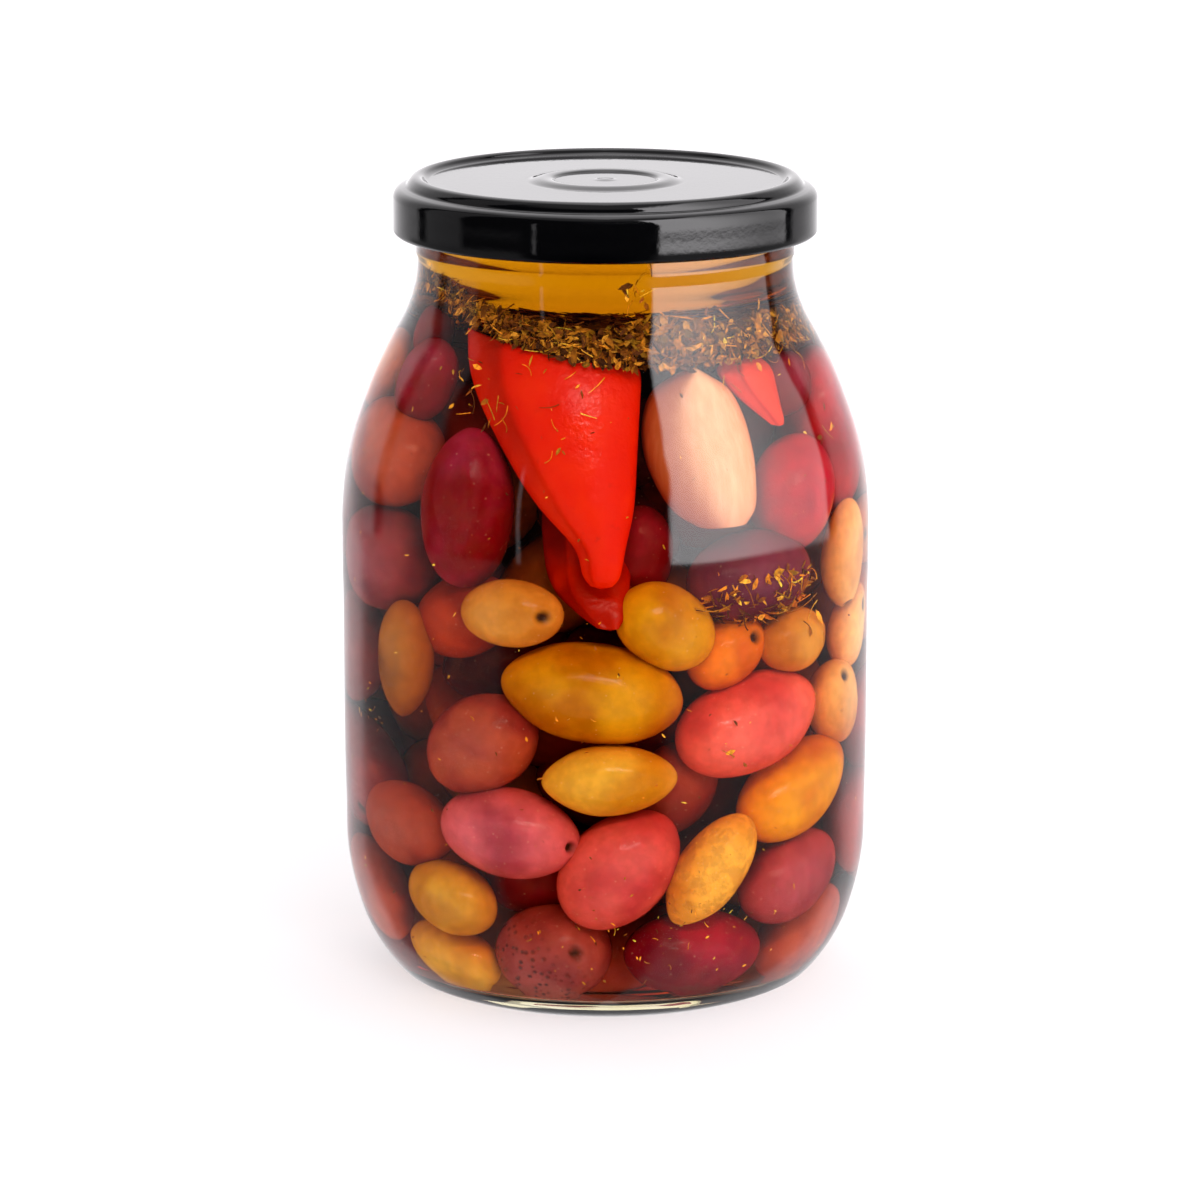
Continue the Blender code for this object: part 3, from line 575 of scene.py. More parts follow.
def joined(parts):
    """One list of points, faces and colours from several (points, faces, colours)."""
    points, faces, colours, base = [], [], {}, 0
    for part_points, part_faces, part_colours in parts:
        points.append(part_points)
        faces += [tuple(v + base for v in face) for face in part_faces]
        base += len(part_points)
        for key, values in part_colours.items():
            colours.setdefault(key, []).append(values)
    return np.concatenate(points), faces, {k: np.concatenate(v) for k, v in colours.items()}


# Materials

def linear(rgb):
    """A colour of 0 to 255 sRGB values as linear light."""
    c = np.array(rgb, float) / 255
    return np.where(c <= 0.04045, c / 12.92, ((c + 0.055) / 1.055) ** 2.4)


class Nodes:
    """A short way to write a material's nodes."""

    def __init__(self, tree):
        self.tree = tree

    def add(self, kind, inputs=None, **settings):
        node = self.tree.nodes.new("ShaderNode" + kind)
        for key, value in settings.items():
            setattr(node, key, value)
        for key, value in (inputs or {}).items():
            self.set(node.inputs[key], value)
        return node

    def set(self, socket, value):
        if isinstance(value, bpy.types.NodeSocket):
            self.tree.links.new(value, socket)
        elif socket.type == "RGBA" and len(value) == 3:
            socket.default_value = (*[float(v) for v in value], 1.0)
        else:
            socket.default_value = value

    def here(self):
        """Each point's own place, in metres."""
        return self.add("TexCoord").outputs["Object"]

    def attribute(self, name):
        return self.add("Attribute", attribute_name=name).outputs["Color"]

    def times(self, a, b):
        return self.math("MULTIPLY", a, b)

    def math(self, operation, a, b=0.0, c=0.0):
        node = self.add("Math", operation=operation)
        for socket, value in zip(node.inputs, (a, b, c)):
            self.set(socket, value)
        return node.outputs[0]

    def mix(self, factor, a, b, blend="MIX"):
        node = self.add("Mix", data_type="RGBA", blend_type=blend)
        self.set(node.inputs["Factor"], factor)
        self.set(node.inputs["A"], a)
        self.set(node.inputs["B"], b)
        return node.outputs["Result"]

    def shaded(self, colour, shade):
        """The colour, darker or lighter by a plain number."""
        grey = self.add("CombineColor", {"Red": shade, "Green": shade, "Blue": shade})
        return self.mix(1.0, colour, grey.outputs[0], "MULTIPLY")

    def ramp(self, value, low, high, to_low=0.0, to_high=1.0, kind="SMOOTHSTEP"):
        node = self.add("MapRange", interpolation_type=kind)
        for key, v in (("Value", value), ("From Min", low), ("From Max", high),
                       ("To Min", to_low), ("To Max", to_high)):
            self.set(node.inputs[key], v)
        return node.outputs["Result"]

    def blend(self, factor, a, b):
        """The plain number between a and b."""
        node = self.add("Mix", data_type="FLOAT")
        for index, v in ((0, factor), (2, a), (3, b)):
            self.set(node.inputs[index], v)
        return node.outputs[0]

    def between(self, value, low, high, edge):
        """1 from low to high and 0 beyond, with soft edges."""
        rising = self.ramp(value, low - edge, low + edge)
        return self.times(rising, self.ramp(value, high - edge, high + edge, 1.0, 0.0))

    def noise(self, where, scale, detail=2.0, roughness=0.5):
        inputs = {"Vector": where, "Scale": scale, "Detail": detail, "Roughness": roughness}
        return self.add("TexNoise", inputs).outputs["Fac"]

    def bump(self, height, strength, distance):
        inputs = {"Height": height, "Strength": strength, "Distance": distance}
        return self.add("Bump", inputs).outputs["Normal"]


def material(name, build, *settings):
    """A node material. build adds its nodes and links them to the output."""
    made = bpy.data.materials.new(name)
    made.use_nodes = True
    made.node_tree.nodes.clear()
    nodes = Nodes(made.node_tree)
    output = nodes.add("OutputMaterial")
    build(nodes, output, *settings)
    return made


def principled(n, output, **inputs):
    """The surface's shader. Each setting is the name of an input, with _ for a space."""
    named = {key.replace("_", " "): value for key, value in inputs.items()}
    shader = n.add("BsdfPrincipled", named)
    n.set(output.inputs["Surface"], shader.outputs[0])
    return shader


def lets_light_through(n, output, shader):
    """Lamps and diffuse light pass this surface straight, which keeps the contents lit."""
    path = n.add("LightPath")
    straight = n.math("MAXIMUM", path.outputs["Is Shadow Ray"], path.outputs["Is Diffuse Ray"])
    clear = n.add("BsdfTransparent")
    mixed = n.add("MixShader")
    n.set(mixed.inputs[0], straight)
    n.set(mixed.inputs[1], shader.outputs[0])
    n.set(mixed.inputs[2], clear.outputs[0])
    n.set(output.inputs["Surface"], mixed.outputs[0])


def glass_look(n, output, wetted):
    """Clear glass. Its wetted inner face mirrors almost nothing, as liquid touches it."""
    where = n.here()
    height = n.add("SeparateXYZ", {"Vector": where}).outputs[2]
    heel = n.ramp(height, HEEL_TINT_TO, HEEL_TINT_FROM, 0.0, 1.0)
    streak = n.noise(where, HEEL_STREAKS, 2.0)
    heel = n.times(heel, n.ramp(streak, 0.3, 0.7, 0.6, 1.0))
    shader = principled(n, output, Base_Color=n.mix(heel, WHITE, HEEL_TINT), Roughness=0.0,
                        IOR=GLASS_IOR, Transmission_Weight=1.0,
                        Specular_Tint=BLACK if wetted else WHITE,
                        Normal=n.bump(n.noise(where, RIPPLES), 1.0, RIPPLE_HEIGHT))
    lets_light_through(n, output, shader)


def liquid_look(n, output, ior, colour, density):
    """A clear liquid that takes colour out of the light along its way."""
    waves = n.noise(n.here(), RIPPLES)
    shader = principled(n, output, Base_Color=WHITE, Roughness=0.0, IOR=ior,
                        Transmission_Weight=1.0, Specular_Tint=BLACK,
                        Normal=n.bump(waves, 1.0, RIPPLE_HEIGHT))
    lets_light_through(n, output, shader)
    absorb = n.add("VolumeAbsorption", {"Color": colour, "Density": density})
    n.set(output.inputs["Volume"], absorb.outputs[0])


def lacquer_look(n, output):
    """Black gloss lacquer on pressed steel, with the faintest unevenness in its shine."""
    where = n.here()
    cloud = n.noise(where, 55.0, 3.0)
    fine = n.noise(where, 900.0, 2.0)
    roughness = n.ramp(cloud, 0.3, 0.75, 0.03, 0.06)
    normal = n.bump(n.math("ADD", n.times(cloud, 0.6), fine), 0.05, 0.0002)
    principled(n, output, Base_Color=LACQUER, Roughness=roughness,
               Normal=normal, IOR=1.5)


def skin_look(n, output):
    """Wet olive skin: clouded colour, pale pores, dark specks, and painted shade in the stem's
    hole.
    """
    where = n.here()
    skin = n.attribute("skin")
    second = n.attribute("second")
    marks = n.add("SeparateColor", {"Color": n.attribute("marks")})
    hole, specks, wrinkles = marks.outputs[0], marks.outputs[1], marks.outputs[2]
    cloud = n.noise(where, 62.0, 2.0, 0.45)
    colour = n.mix(n.ramp(cloud, 0.4, 0.68), skin, second)
    mottle = n.noise(where, 420.0, 3.0, 0.5)
    shade = n.ramp(mottle, 0.3, 0.72, 0.88, 1.06)
    colour = n.shaded(colour, shade)
    pores = n.add("TexVoronoi", {"Vector": where, "Scale": 460.0}).outputs["Distance"]
    pore = n.times(n.ramp(pores, 0.13, 0.05), 0.13)
    colour = n.mix(pore, colour, PORES)
    spots = n.add("TexVoronoi", {"Vector": where, "Scale": 700.0}).outputs["Distance"]
    spotted = n.times(n.ramp(spots, 0.4, 0.22), specks)
    colour = n.mix(n.times(spotted, 0.85), colour, SPECKS)
    furrow = n.noise(where, 330.0, 4.0, 0.6)
    furrowed = n.times(n.ramp(furrow, 0.55, 0.4), wrinkles)
    colour = n.mix(n.times(furrowed, 0.55), colour, WRINKLES)
    # Painted shade darkens the stem's hole.
    colour = n.mix(hole, colour, STEM_HOLE_SHADE)
    rough = n.ramp(mottle, 0.3, 0.7, 0.08, 0.15)
    relief = n.math("ADD", n.times(furrowed, -1.2), n.times(mottle, 0.12))
    relief = n.math("SUBTRACT", relief, spotted)
    normal = n.bump(relief, 0.5, 0.0006)
    principled(n, output, Base_Color=colour, Roughness=rough, Normal=normal,
               Specular_IOR_Level=0.12, Subsurface_Weight=0.25,
               Subsurface_Radius=(1.0, 0.35, 0.12), Subsurface_Scale=0.0018)


def pepper_look(n, output):
    """Pickled red pepper: glossy, thin walled, lighter where its wall bulges."""
    where = n.here()
    tone = n.attribute("skin")
    cloud = n.noise(where, 70.0, 3.0, 0.5)
    colour = n.mix(n.times(n.ramp(cloud, 0.4, 0.68), 0.5), tone, PEPPER_CLOUDS)
    fine = n.noise(where, 420.0, 3.0, 0.6)
    colour = n.mix(n.ramp(fine, 0.62, 0.78, 0.0, 0.35), colour, PEPPER_BLOTCHES)
    normal = n.bump(n.math("ADD", n.times(cloud, 2.0), fine), 0.35, 0.0008)
    principled(n, output, Base_Color=colour, Roughness=0.2, Normal=normal,
               Specular_IOR_Level=0.1, Subsurface_Weight=0.3,
               Subsurface_Radius=(1.0, 0.22, 0.05), Subsurface_Scale=0.0025)


def garlic_look(n, output):
    """A pale clove, faintly streaked along its length, darker on its left, and with painted shade
    towards its edges.
    """
    coordinates = n.here()
    streaks = n.add("Mapping", {"Vector": coordinates, "Scale": (620.0, 620.0, 70.0)})
    streak = n.noise(streaks.outputs[0], 1.0, 3.0, 0.6)
    cloud = n.noise(coordinates, 110.0, 2.0)
    tone = n.attribute("skin")
    colour = n.mix(n.ramp(streak, 0.35, 0.7), *CLOVE_STREAKS)
    colour = n.mix(n.ramp(cloud, 0.56, 0.74, 0.0, 0.4), colour, CLOVE_CLOUDS)
    colour = n.mix(1.0, colour, tone, "MULTIPLY")
    normal = n.bump(streak, 0.3, 0.0004)
    principled(n, output, Base_Color=colour, Roughness=0.25, Normal=normal,
               Specular_IOR_Level=0.1, Subsurface_Weight=0.4,
               Subsurface_Radius=(1.0, 0.6, 0.35), Subsurface_Scale=0.003)


def herb_look(n, output):
    """Dried leaf: each flake has its own colour, with veins and blotches."""
    where = n.here()
    leaf = n.attribute("skin")
    blotch = n.noise(where, 1300.0, 2.0)
    shade = n.ramp(blotch, 0.3, 0.7, 0.65, 1.25)
    colour = n.shaded(leaf, shade)
    principled(n, output, Base_Color=colour, Roughness=0.6, Specular_IOR_Level=0.06,
               Normal=n.bump(blotch, 0.5, 0.0003))


def core_shade_look(n, output):
    """Painted shade: the near-black deep of the heap."""
    where = n.here()
    colour = n.mix(n.noise(where, 90.0), *PAINTED_DEEP_SHADE)
    principled(n, output, Base_Color=colour, Roughness=0.7, Specular_IOR_Level=0.0)


def floor_look(n, output):
    """A white table that never looks grey away from what stands on it."""
    cloud = n.noise(n.here(), 9.0)
    principled(n, output, Base_Color=TABLE_COLOUR, Specular_IOR_Level=0.0,
               Roughness=n.ramp(cloud, 0.3, 0.7, 0.85, 0.95),
               Emission_Color=TABLE_GLOW, Emission_Strength=TABLE_GLOW_STRENGTH)


# Glass, liquids and lid

def curve_points(corners, count):
    """A smooth run of points through the corners, evenly spaced by corner number."""
    along = np.linspace(0, len(corners) - 1, count)
    columns = [through([(i, c[k]) for i, c in enumerate(corners)], along) for k in (0, 1)]
    return list(zip(*[column.tolist() for column in columns]))


def make_jar():
    """The glass: underside, outside, neck ring, rolled rim and inside, as one closed skin."""
    heights = np.concatenate([np.linspace(*levels) for levels in OUTSIDE_LEVELS])
    bead = NECK_RING_OUT * np.exp(-((heights - NECK_RING_Z) / NECK_RING_SPREAD) ** 2)
    radii = np.minimum(through(OUTSIDE, heights) + bead, WIDEST)
    outside = list(zip(radii.tolist(), heights.tolist()))
    rim = []
    for k in range(RIM_STEPS + 1):
        turn = math.pi * k / RIM_STEPS
        height = RIM_TOP - RIM_DROP + RIM_DROP * math.sin(turn)
        rim.append((RIM_RADIUS + RIM_ROUND * math.cos(turn), height))
    levels = np.concatenate([np.linspace(*INSIDE_LEVELS), FOOT_LEVELS])
    inside = [(float(glass_inside(z)), float(z)) for z in levels]
    foot = inside[-1][0]
    corner = [(foot - inward, height) for inward, height in FLOOR_CORNER]
    profile = UNDERSIDE + outside + rim + inside + corner + FLOOR
    points, faces = turned(profile, GLASS_SIDES)
    looks = [material("clear_glass", glass_look, False), material("wetted_glass", glass_look, True)]
    jar = make("glass_jar", points, faces, looks)
    wet_from = len(UNDERSIDE) + len(outside) + len(rim) - 1
    for index, polygon in enumerate(jar.data.polygons):
        if index // GLASS_SIDES >= wet_from and polygon.center.z < OIL_TOP * MM:
            polygon.material_index = 1
    return jar


def interface(azimuth, radius):
    """The height where oil meets brine, hidden inside the mat of herbs."""
    return (herb_face(azimuth, radius, True) + herb_face(azimuth, radius, False)) / 2


def make_liquid(name, look, is_oil):
    """Brine up to the herbs, or oil from there to the neck, each a closed skin."""
    sides = GLASS_SIDES
    azimuth = np.linspace(-180, 180, sides, endpoint=False)
    meeting = []
    for share in MEETING_SHARES:
        height = interface(azimuth, share * HERB_EDGE_RADIUS)
        height = height + (-LIQUID_OVERLAP if is_oil else LIQUID_OVERLAP)
        meeting.append(place(azimuth, share * (glass_inside(height) + INTO_WALL), height))
    meeting = np.array(meeting)
    edge = meeting[-1][:, 2]
    ladder = np.linspace(0, 1, LIQUID_LEVELS)[1:]
    rings = []
    if is_oil:
        for t in ladder:
            height = edge + (OIL_TOP - edge) * t
            rings.append(place(azimuth, glass_inside(height) + INTO_WALL, height))
        top = [place(azimuth, float(glass_inside(OIL_TOP)) * s, OIL_TOP) for s in (0.6, 0.05)]
        rings = np.concatenate([meeting, np.array(rings), np.array(top)])
        ends = ((0, 0, HERB_MIDDLE[0]), (0, 0, OIL_TOP))
    else:
        foot = INSIDE_FROM - 0.3
        bottom = FLOOR_MIDDLE - INTO_WALL
        floor = [place(azimuth, radius, bottom) for radius in BRINE_FLOOR_RADII]
        for t in ladder[::-1]:
            height = foot + (edge - foot) * (1 - t)
            rings.append(place(azimuth, glass_inside(height) + INTO_WALL, height))
        rings = np.concatenate([np.array(floor), np.array(rings), meeting[::-1]])
        ends = ((0, 0, bottom), (0, 0, interface(0.0, 0.0)))
    points, faces = skin_over(rings, *ends)
    return make(name, points, faces, [look])


def make_lid():
    """The cap: panel with a button, a raised ring, a straight skirt and a rolled edge."""
    button, edge, inside = [curve_points(corners, count) for corners, count in zip(
        (LID_BUTTON, LID_EDGE, LID_INSIDE), LID_STEPS)]
    profile = [(radius, LID_PANEL + rise) for radius, rise in button]
    profile += [(radius, LID_PANEL) for radius in LID_FLAT] + edge + inside
    points, faces = turned(profile, LID_SIDES)
    radius = np.hypot(points[:, 0], points[:, 1])
    lug = np.maximum(np.cos(LID_LUGS * np.arctan2(points[:, 1], points[:, 0])), 0) ** 2
    here = (radius > LUG_RADII[0]) & (radius < LUG_RADII[1]) & (points[:, 2] < LUG_TOP)
    share = np.where(here, 1 - LUG_REACH / np.maximum(radius, 1) * lug, 1.0)
    points[:, :2] *= share[:, None]
    return make("twist_off_lid", points, faces, [material("black_lacquer", lacquer_look)])


# Olives

def olive_surface(middle, axis, olive, look, mesh, rng):
    """Rings of points over one olive, with how much painted hole shade, speck and wrinkle is at
    each.
    """
    rings, sides = mesh
    theta = np.linspace(0, math.pi, rings + 2)[1:-1]
    phi = np.linspace(0, 2 * math.pi, sides, endpoint=False)
    t = -np.cos(theta)[:, None]
    outward = outward_at(middle)
    across = unit(outward - axis * (outward @ axis))
    third = np.cross(axis, across)
    spoke = across * np.cos(phi)[:, None] + third * np.sin(phi)[:, None]
    girth = np.sqrt(1 - np.abs(t) ** OLIVE_BLUNTNESS)
    for sign, point in zip((-1, 1), look.points):
        side = np.maximum(t * sign, 0)
        girth = girth * (1 - POINTED * point * side ** 2.5)
    a, b, c = rng.uniform(0, 2 * math.pi, 3)
    lumps = 1 + 0.012 * np.sin(2 * phi + a + 1.3 * t) + 0.010 * np.sin(3 * phi + b - 2 * t)
    lumps = lumps + 0.010 * np.sin(5 * t + c)
    radius = girth * lumps * olive.width / 2
    ball = t[..., None] * axis + np.sqrt(1 - t * t)[..., None] * spoke
    points = middle + t[..., None] * axis * olive.length / 2 + radius[..., None] * spoke
    marks = np.zeros((rings, sides, 3))
    if look.hole:
        turn = math.radians(look.turn)
        aim = axis * look.hole * math.cos(turn) + across * math.sin(turn)
        away = np.arccos(np.clip(ball @ aim, -1, 1)) * olive.width / 2 / HOLE_RADIUS
        pit = np.exp(-away ** 4)
        lip = np.exp(-((away - 1.5) / 0.5) ** 2)
        points = points + ball * (LIP_HEIGHT * lip - HOLE_DEPTH * pit)[..., None]
        # The pit is darkened in the colour too, as painted shade.
        marks[..., 0] = np.clip(pit * 1.1, 0, 1)
    if look.skin == "speckled":
        marks[..., 1] = np.clip(0.55 - 1.1 * t + 0.6 * (spoke @ np.array([0, 0, -1.0])), 0, 1)
    marks[..., 2] = 0.5 if look.skin == "nut" else 0.08
    return points, marks


def olive_part(middle, axis, olive, look, mesh, rng):
    """One olive's points, faces and colours."""
    rings, marks = olive_surface(middle, axis, olive, look, mesh, rng)
    ends = [middle - axis * olive.length / 2, middle + axis * olive.length / 2]
    points, faces = skin_over(rings, *ends)
    points = held_in(points)
    tone = rng.uniform(0.9, 1.1) * (INNER_SHADE if mesh == INNER_MESH else 1.0)
    colours = {}
    for key, colour in zip(("skin", "second"), SKINS[look.skin]):
        colours[key] = np.tile(np.clip(linear(colour) * tone, 0, 1), (len(points), 1))
    colours["marks"] = np.concatenate([marks.reshape(-1, 3), np.zeros((2, 3))])
    return points, faces, colours


def back_look(middle, rng):
    """How an olive at the back looks, which the photograph doesn't show."""
    skin = BACK_SKINS[rng.integers(len(BACK_SKINS))]
    if -DARK_SIDE < azimuth_of(middle) < 0:
        skin = DARK_SKINS[rng.integers(len(DARK_SKINS))]
    hole = int(rng.integers(-1, 2))
    turn = rng.uniform(20, 60)
    return Look(skin, tuple(rng.uniform(0, 0.5, 2)), hole, turn)


def inner_olives():
    """The second layer, deeper in the jar."""
    rng = np.random.default_rng(INNER_SEED)
    made = []
    for row in range(INNER_ROWS):
        for k in range(INNER_PER_ROW):
            azimuth = 360 * (k + 0.5 * (row % 2)) / INNER_PER_ROW + rng.uniform(-6, 6)
            height = INNER_FIRST_HEIGHT + row * INNER_ROW_STEP + rng.uniform(-2, 2)
            length, width = np.array(INNER_SIZE) * rng.uniform(0.85, 1.15)
            made.append(Olive(azimuth, height, length, width, rng.uniform(-60, 90), INNER_INSET))
    return made


def inner_parts(rng):
    """The second layer's points, faces and colours, olive by olive."""
    parts = []
    for olive in inner_olives():
        look = Look(BACK_SKINS[rng.integers(len(BACK_SKINS))])
        radius = float(glass_inside(olive.height)) - olive.inset
        middle = place(olive.azimuth, radius, olive.height)
        parts.append(olive_part(middle, axis_of(olive), olive, look, INNER_MESH, rng))
    return parts


def make_core():
    """The dark core behind all the olives, near-black as painted shade."""
    profile = [(0.0, CORE_FLOOR)]
    for z in np.linspace(CORE_FLOOR, CORE_TOP, CORE_LEVELS):
        profile.append((float(glass_inside(z)) - CORE_INSET, float(z)))
    profile.append((0.0, CORE_TOP))
    points, faces = turned(profile, CORE_SIDES)
    return make("heap_core", points, faces, [material("painted_shade_core", core_shade_look)])


def make_olives():
    """Every olive, as a piece for the red ones, one for the yellow ones and a dark core."""
    front = FRONT_OLIVES + FRONT_GAPS
    olives = front + back_olives()
    middles, axes = settled(olives, len(front))
    rng = np.random.default_rng(BACK_SEED)
    parts = {"red_olives": [], "yellow_olives": []}
    places = {}
    for index, (olive, middle, axis) in enumerate(zip(olives, middles, axes)):
        if olive in FRONT_GAPS:
            continue
        places[olive] = (middle, axis)
        if index < len(FRONT_OLIVES):
            look, mesh = FRONT_LOOKS[index], FRONT_MESH
        else:
            look, mesh = back_look(middle, rng), BACK_MESH
        kind = "yellow_olives" if look.skin in YELLOW_SKINS else "red_olives"
        parts[kind].append(olive_part(middle, axis, olive, look, mesh, rng))
    parts["inner_olives"] = inner_parts(rng)
    made = []
    skin = material("olive_skin", skin_look)
    for name, pieces in parts.items():
        points, faces, colours = joined(pieces)
        made.append(make(name, points, faces, [skin], colours))
    return made + [make_core()], places


# Peppers and clove

def wrapped_points(stations):
    """Rings of points along a piece that lies on the glass, as the solid has them.

    With them come which way each point faces, how far along the piece its ring is, how far
    across it the point is, and the point's angle round the ring.
    """
    rings, sides = WRAP_MESH
    along = np.linspace(0, len(stations) - 1, rings)
    columns = [through(list(enumerate(column)), along) for column in zip(*stations)]
    azimuth, height, width, thickness, inset, rise = [c[:, None] for c in columns]
    turn = np.linspace(0, 2 * math.pi, sides, endpoint=False)[None, :]
    across = np.sign(np.cos(turn)) * np.abs(np.cos(turn)) ** WRAP_SQUARENESS
    level = height + across * rise
    outer = contents_reach(level) - inset
    swing = np.degrees(across * width / 2 / outer)
    depth = outer - thickness / 2 + np.sin(turn) * thickness / 2
    points = place(azimuth + swing, depth, level)
    outward = unit(points - points.mean(1, keepdims=True))
    share = np.linspace(0, 1, rings)[:, None]
    return points, outward, share, across * np.ones_like(level), turn


def finish_wrapped(rings):
    """A closed skin over the rings, with a point beyond each end, held inside the glass."""
    ends = []
    for loop, beyond in ((rings[0], rings[1]), (rings[-1], rings[-2])):
        last, before = loop.mean(0), beyond.mean(0)
        ends.append(last + unit(last - before) * WRAP_TIP)
    points, faces = skin_over(rings, *ends)
    return held_in(points), faces


def make_pepper(name, look, seed):
    """A pepper with soft furrows along it and one facet that turns away to the left, coloured
    darker as painted shade.
    """
    rings, outward, along, across, turn = wrapped_points(WRAPPED[name])
    rng = np.random.default_rng(seed)
    phases = rng.uniform(0, 2 * math.pi, 3)
    furrow = 0.5 * np.sin(3 * turn + phases[0] + 2 * along)
    furrow = furrow + 0.3 * np.sin(5 * turn + phases[1] - 3 * along)
    furrow = furrow + 0.25 * np.sin(9 * along + phases[2] + turn)
    edge = -0.42 - 0.25 * along
    facet = 1 / (1 + np.exp((across - edge) * 22))
    front = np.clip(np.sin(turn), 0, 1)
    depth = furrow * FURROW_DEPTH - FACET_DEPTH * facet * front * (1 - along)
    rings = rings + outward * depth[..., None]
    points, faces = finish_wrapped(rings)
    # The facet that turns away takes the darker tone: painted shade.
    bright, dark = [linear(c) for c in PEPPER_TONES_AND_FACET_SHADE[name]]
    share = (facet * front * (1 - 0.6 * along))[..., None]
    tone = bright * (1 - share) + dark * share
    tone = np.concatenate([tone.reshape(-1, 3), tone[0, :1], tone[-1, :1]])
    return make(name + "_skin", points, faces, [look], {"skin": tone})


def make_clove(look):
    """The clove: two soft ridges along it, and a drawn-out top."""
    rings, outward, along, across, turn = wrapped_points(WRAPPED["garlic_clove"])
    ridge = 0.2 * np.exp(-((across + 0.45) / 0.2) ** 2) * np.clip(np.sin(turn), 0, 1)
    ridge = ridge + 0.08 * np.sin(7 * turn + 3 * along) + 0.15 * np.sin(9 * along + turn)
    rings = rings + outward * (ridge * np.sin(math.pi * along))[..., None]
    points, faces = finish_wrapped(rings)
    # Darker on the left side.
    darker_left = 1 / (1 + np.exp((across + 0.3 + 0.12 * np.sin(5 * along)) * 8))
    tone = 1 + darker_left[..., None] * (np.array(CLOVE_DARKER_LEFT) - 1)
    low_end = np.clip((along - 0.7) / 0.3, 0, 1)[..., None]
    tone = tone * (1 - low_end * np.array(CLOVE_LOW_END))
    # Painted shade towards the edges, which leaves the middle lighter.
    tone = tone * (1 - (np.abs(across) ** 4)[..., None] * np.array(CLOVE_EDGE_SHADE))
    tone = np.concatenate([tone.reshape(-1, 3), [[0.8, 0.6, 0.45]], [[0.9, 0.8, 0.7]]])
    return make("garlic_clove_skin", points, faces, [look], {"skin": tone})


# Herbs

def leaf_part(middle, normal, along, length, width, curl, colour):
    """One flake: a pointed leaf bit of three crossings, folded along its middle."""
    side = np.cross(normal, along)
    points = [middle - along * length / 2]
    for t, w in ((-0.25, 0.8), (0.15, 1.0)):
        lift = normal * curl * (1 - t * t)
        points.append(middle + along * t * length - side * w * width / 2 + lift)
        points.append(middle + along * t * length + lift * 0.4)
        points.append(middle + along * t * length + side * w * width / 2 + lift)
    points.append(middle + along * length / 2)
    faces = [(0, 2, 1), (0, 3, 2), (1, 2, 5, 4), (2, 3, 6, 5), (4, 5, 7), (5, 6, 7)]
    return np.array(points), faces, {"skin": np.tile(colour, (len(points), 1))}


def stem_part(spine, radius, colour):
    """A stem: a thin three-sided tube along the points of its spine."""
    spine = np.array(spine)
    tangent = unit(np.gradient(spine, axis=0))
    side = unit(np.cross(tangent, [0.31, 0.2, 0.93]))
    other = np.cross(tangent, side)
    rings = []
    taper = np.linspace(1.0, 0.55, len(spine))
    for turn in (0, 2 * math.pi / 3, 4 * math.pi / 3):
        spoke = side * math.cos(turn) + other * math.sin(turn)
        rings.append(spine + spoke * (radius * taper)[:, None])
    rings = np.array(rings).transpose(1, 0, 2)
    points, faces = skin_over(rings, spine[0], spine[-1])
    return points, faces, {"skin": np.tile(colour, (len(points), 1))}


def leaf_colour(rng, brighter=1.0):
    base = linear(LEAF_COLOURS[rng.integers(len(LEAF_COLOURS))])
    return np.clip(base * rng.uniform(0.7, 1.4) * brighter, 0, 1)


def random_leaf(rng, middle, lying, size, brighter=1.0):
    """A flake at middle. lying is the direction it faces most of the time."""
    normal = unit(lying + rng.normal(0, 0.55, 3))
    along = unit(np.cross(normal, rng.normal(0, 1, 3)))
    length = size * rng.uniform(0.5, 1.0) / rng.uniform(0.45, 1.0)
    width = min(length, size * 1.3) * rng.uniform(0.15, 0.6)
    curl = width * rng.uniform(-0.5, 0.7)
    return leaf_part(middle, normal, along, length, width, curl, leaf_colour(rng, brighter))


def random_stem(rng, middle, length, radius, brighter=1.0, flat=0.3):
    along = unit(rng.normal(0, 1, 3) * np.array([1, 1, flat]))
    bend = unit(np.cross(along, rng.normal(0, 1, 3))) * length * rng.uniform(0.0, 0.22)
    steps = np.linspace(-1, 1, 7)
    spine = [middle + along * s * length / 2 + bend * (1 - s * s) for s in steps]
    return stem_part(spine, radius, leaf_colour(rng, brighter))


def kept_inside(part):
    """The part, with points too near the glass drawn back to it."""
    points, faces, colours = part
    around = from_axis(points)
    share = np.minimum(1.0, (glass_inside(points[:, 2]) - 0.25) / around)
    points = np.stack([points[:, 0] * share, points[:, 1] * share, points[:, 2]], -1)
    return points, faces, colours


def mat_edge(azimuth):
    """The mat's lower and upper height at the glass."""
    return [float(herb_face(azimuth, HERB_EDGE_RADIUS, upper)) for upper in (False, True)]


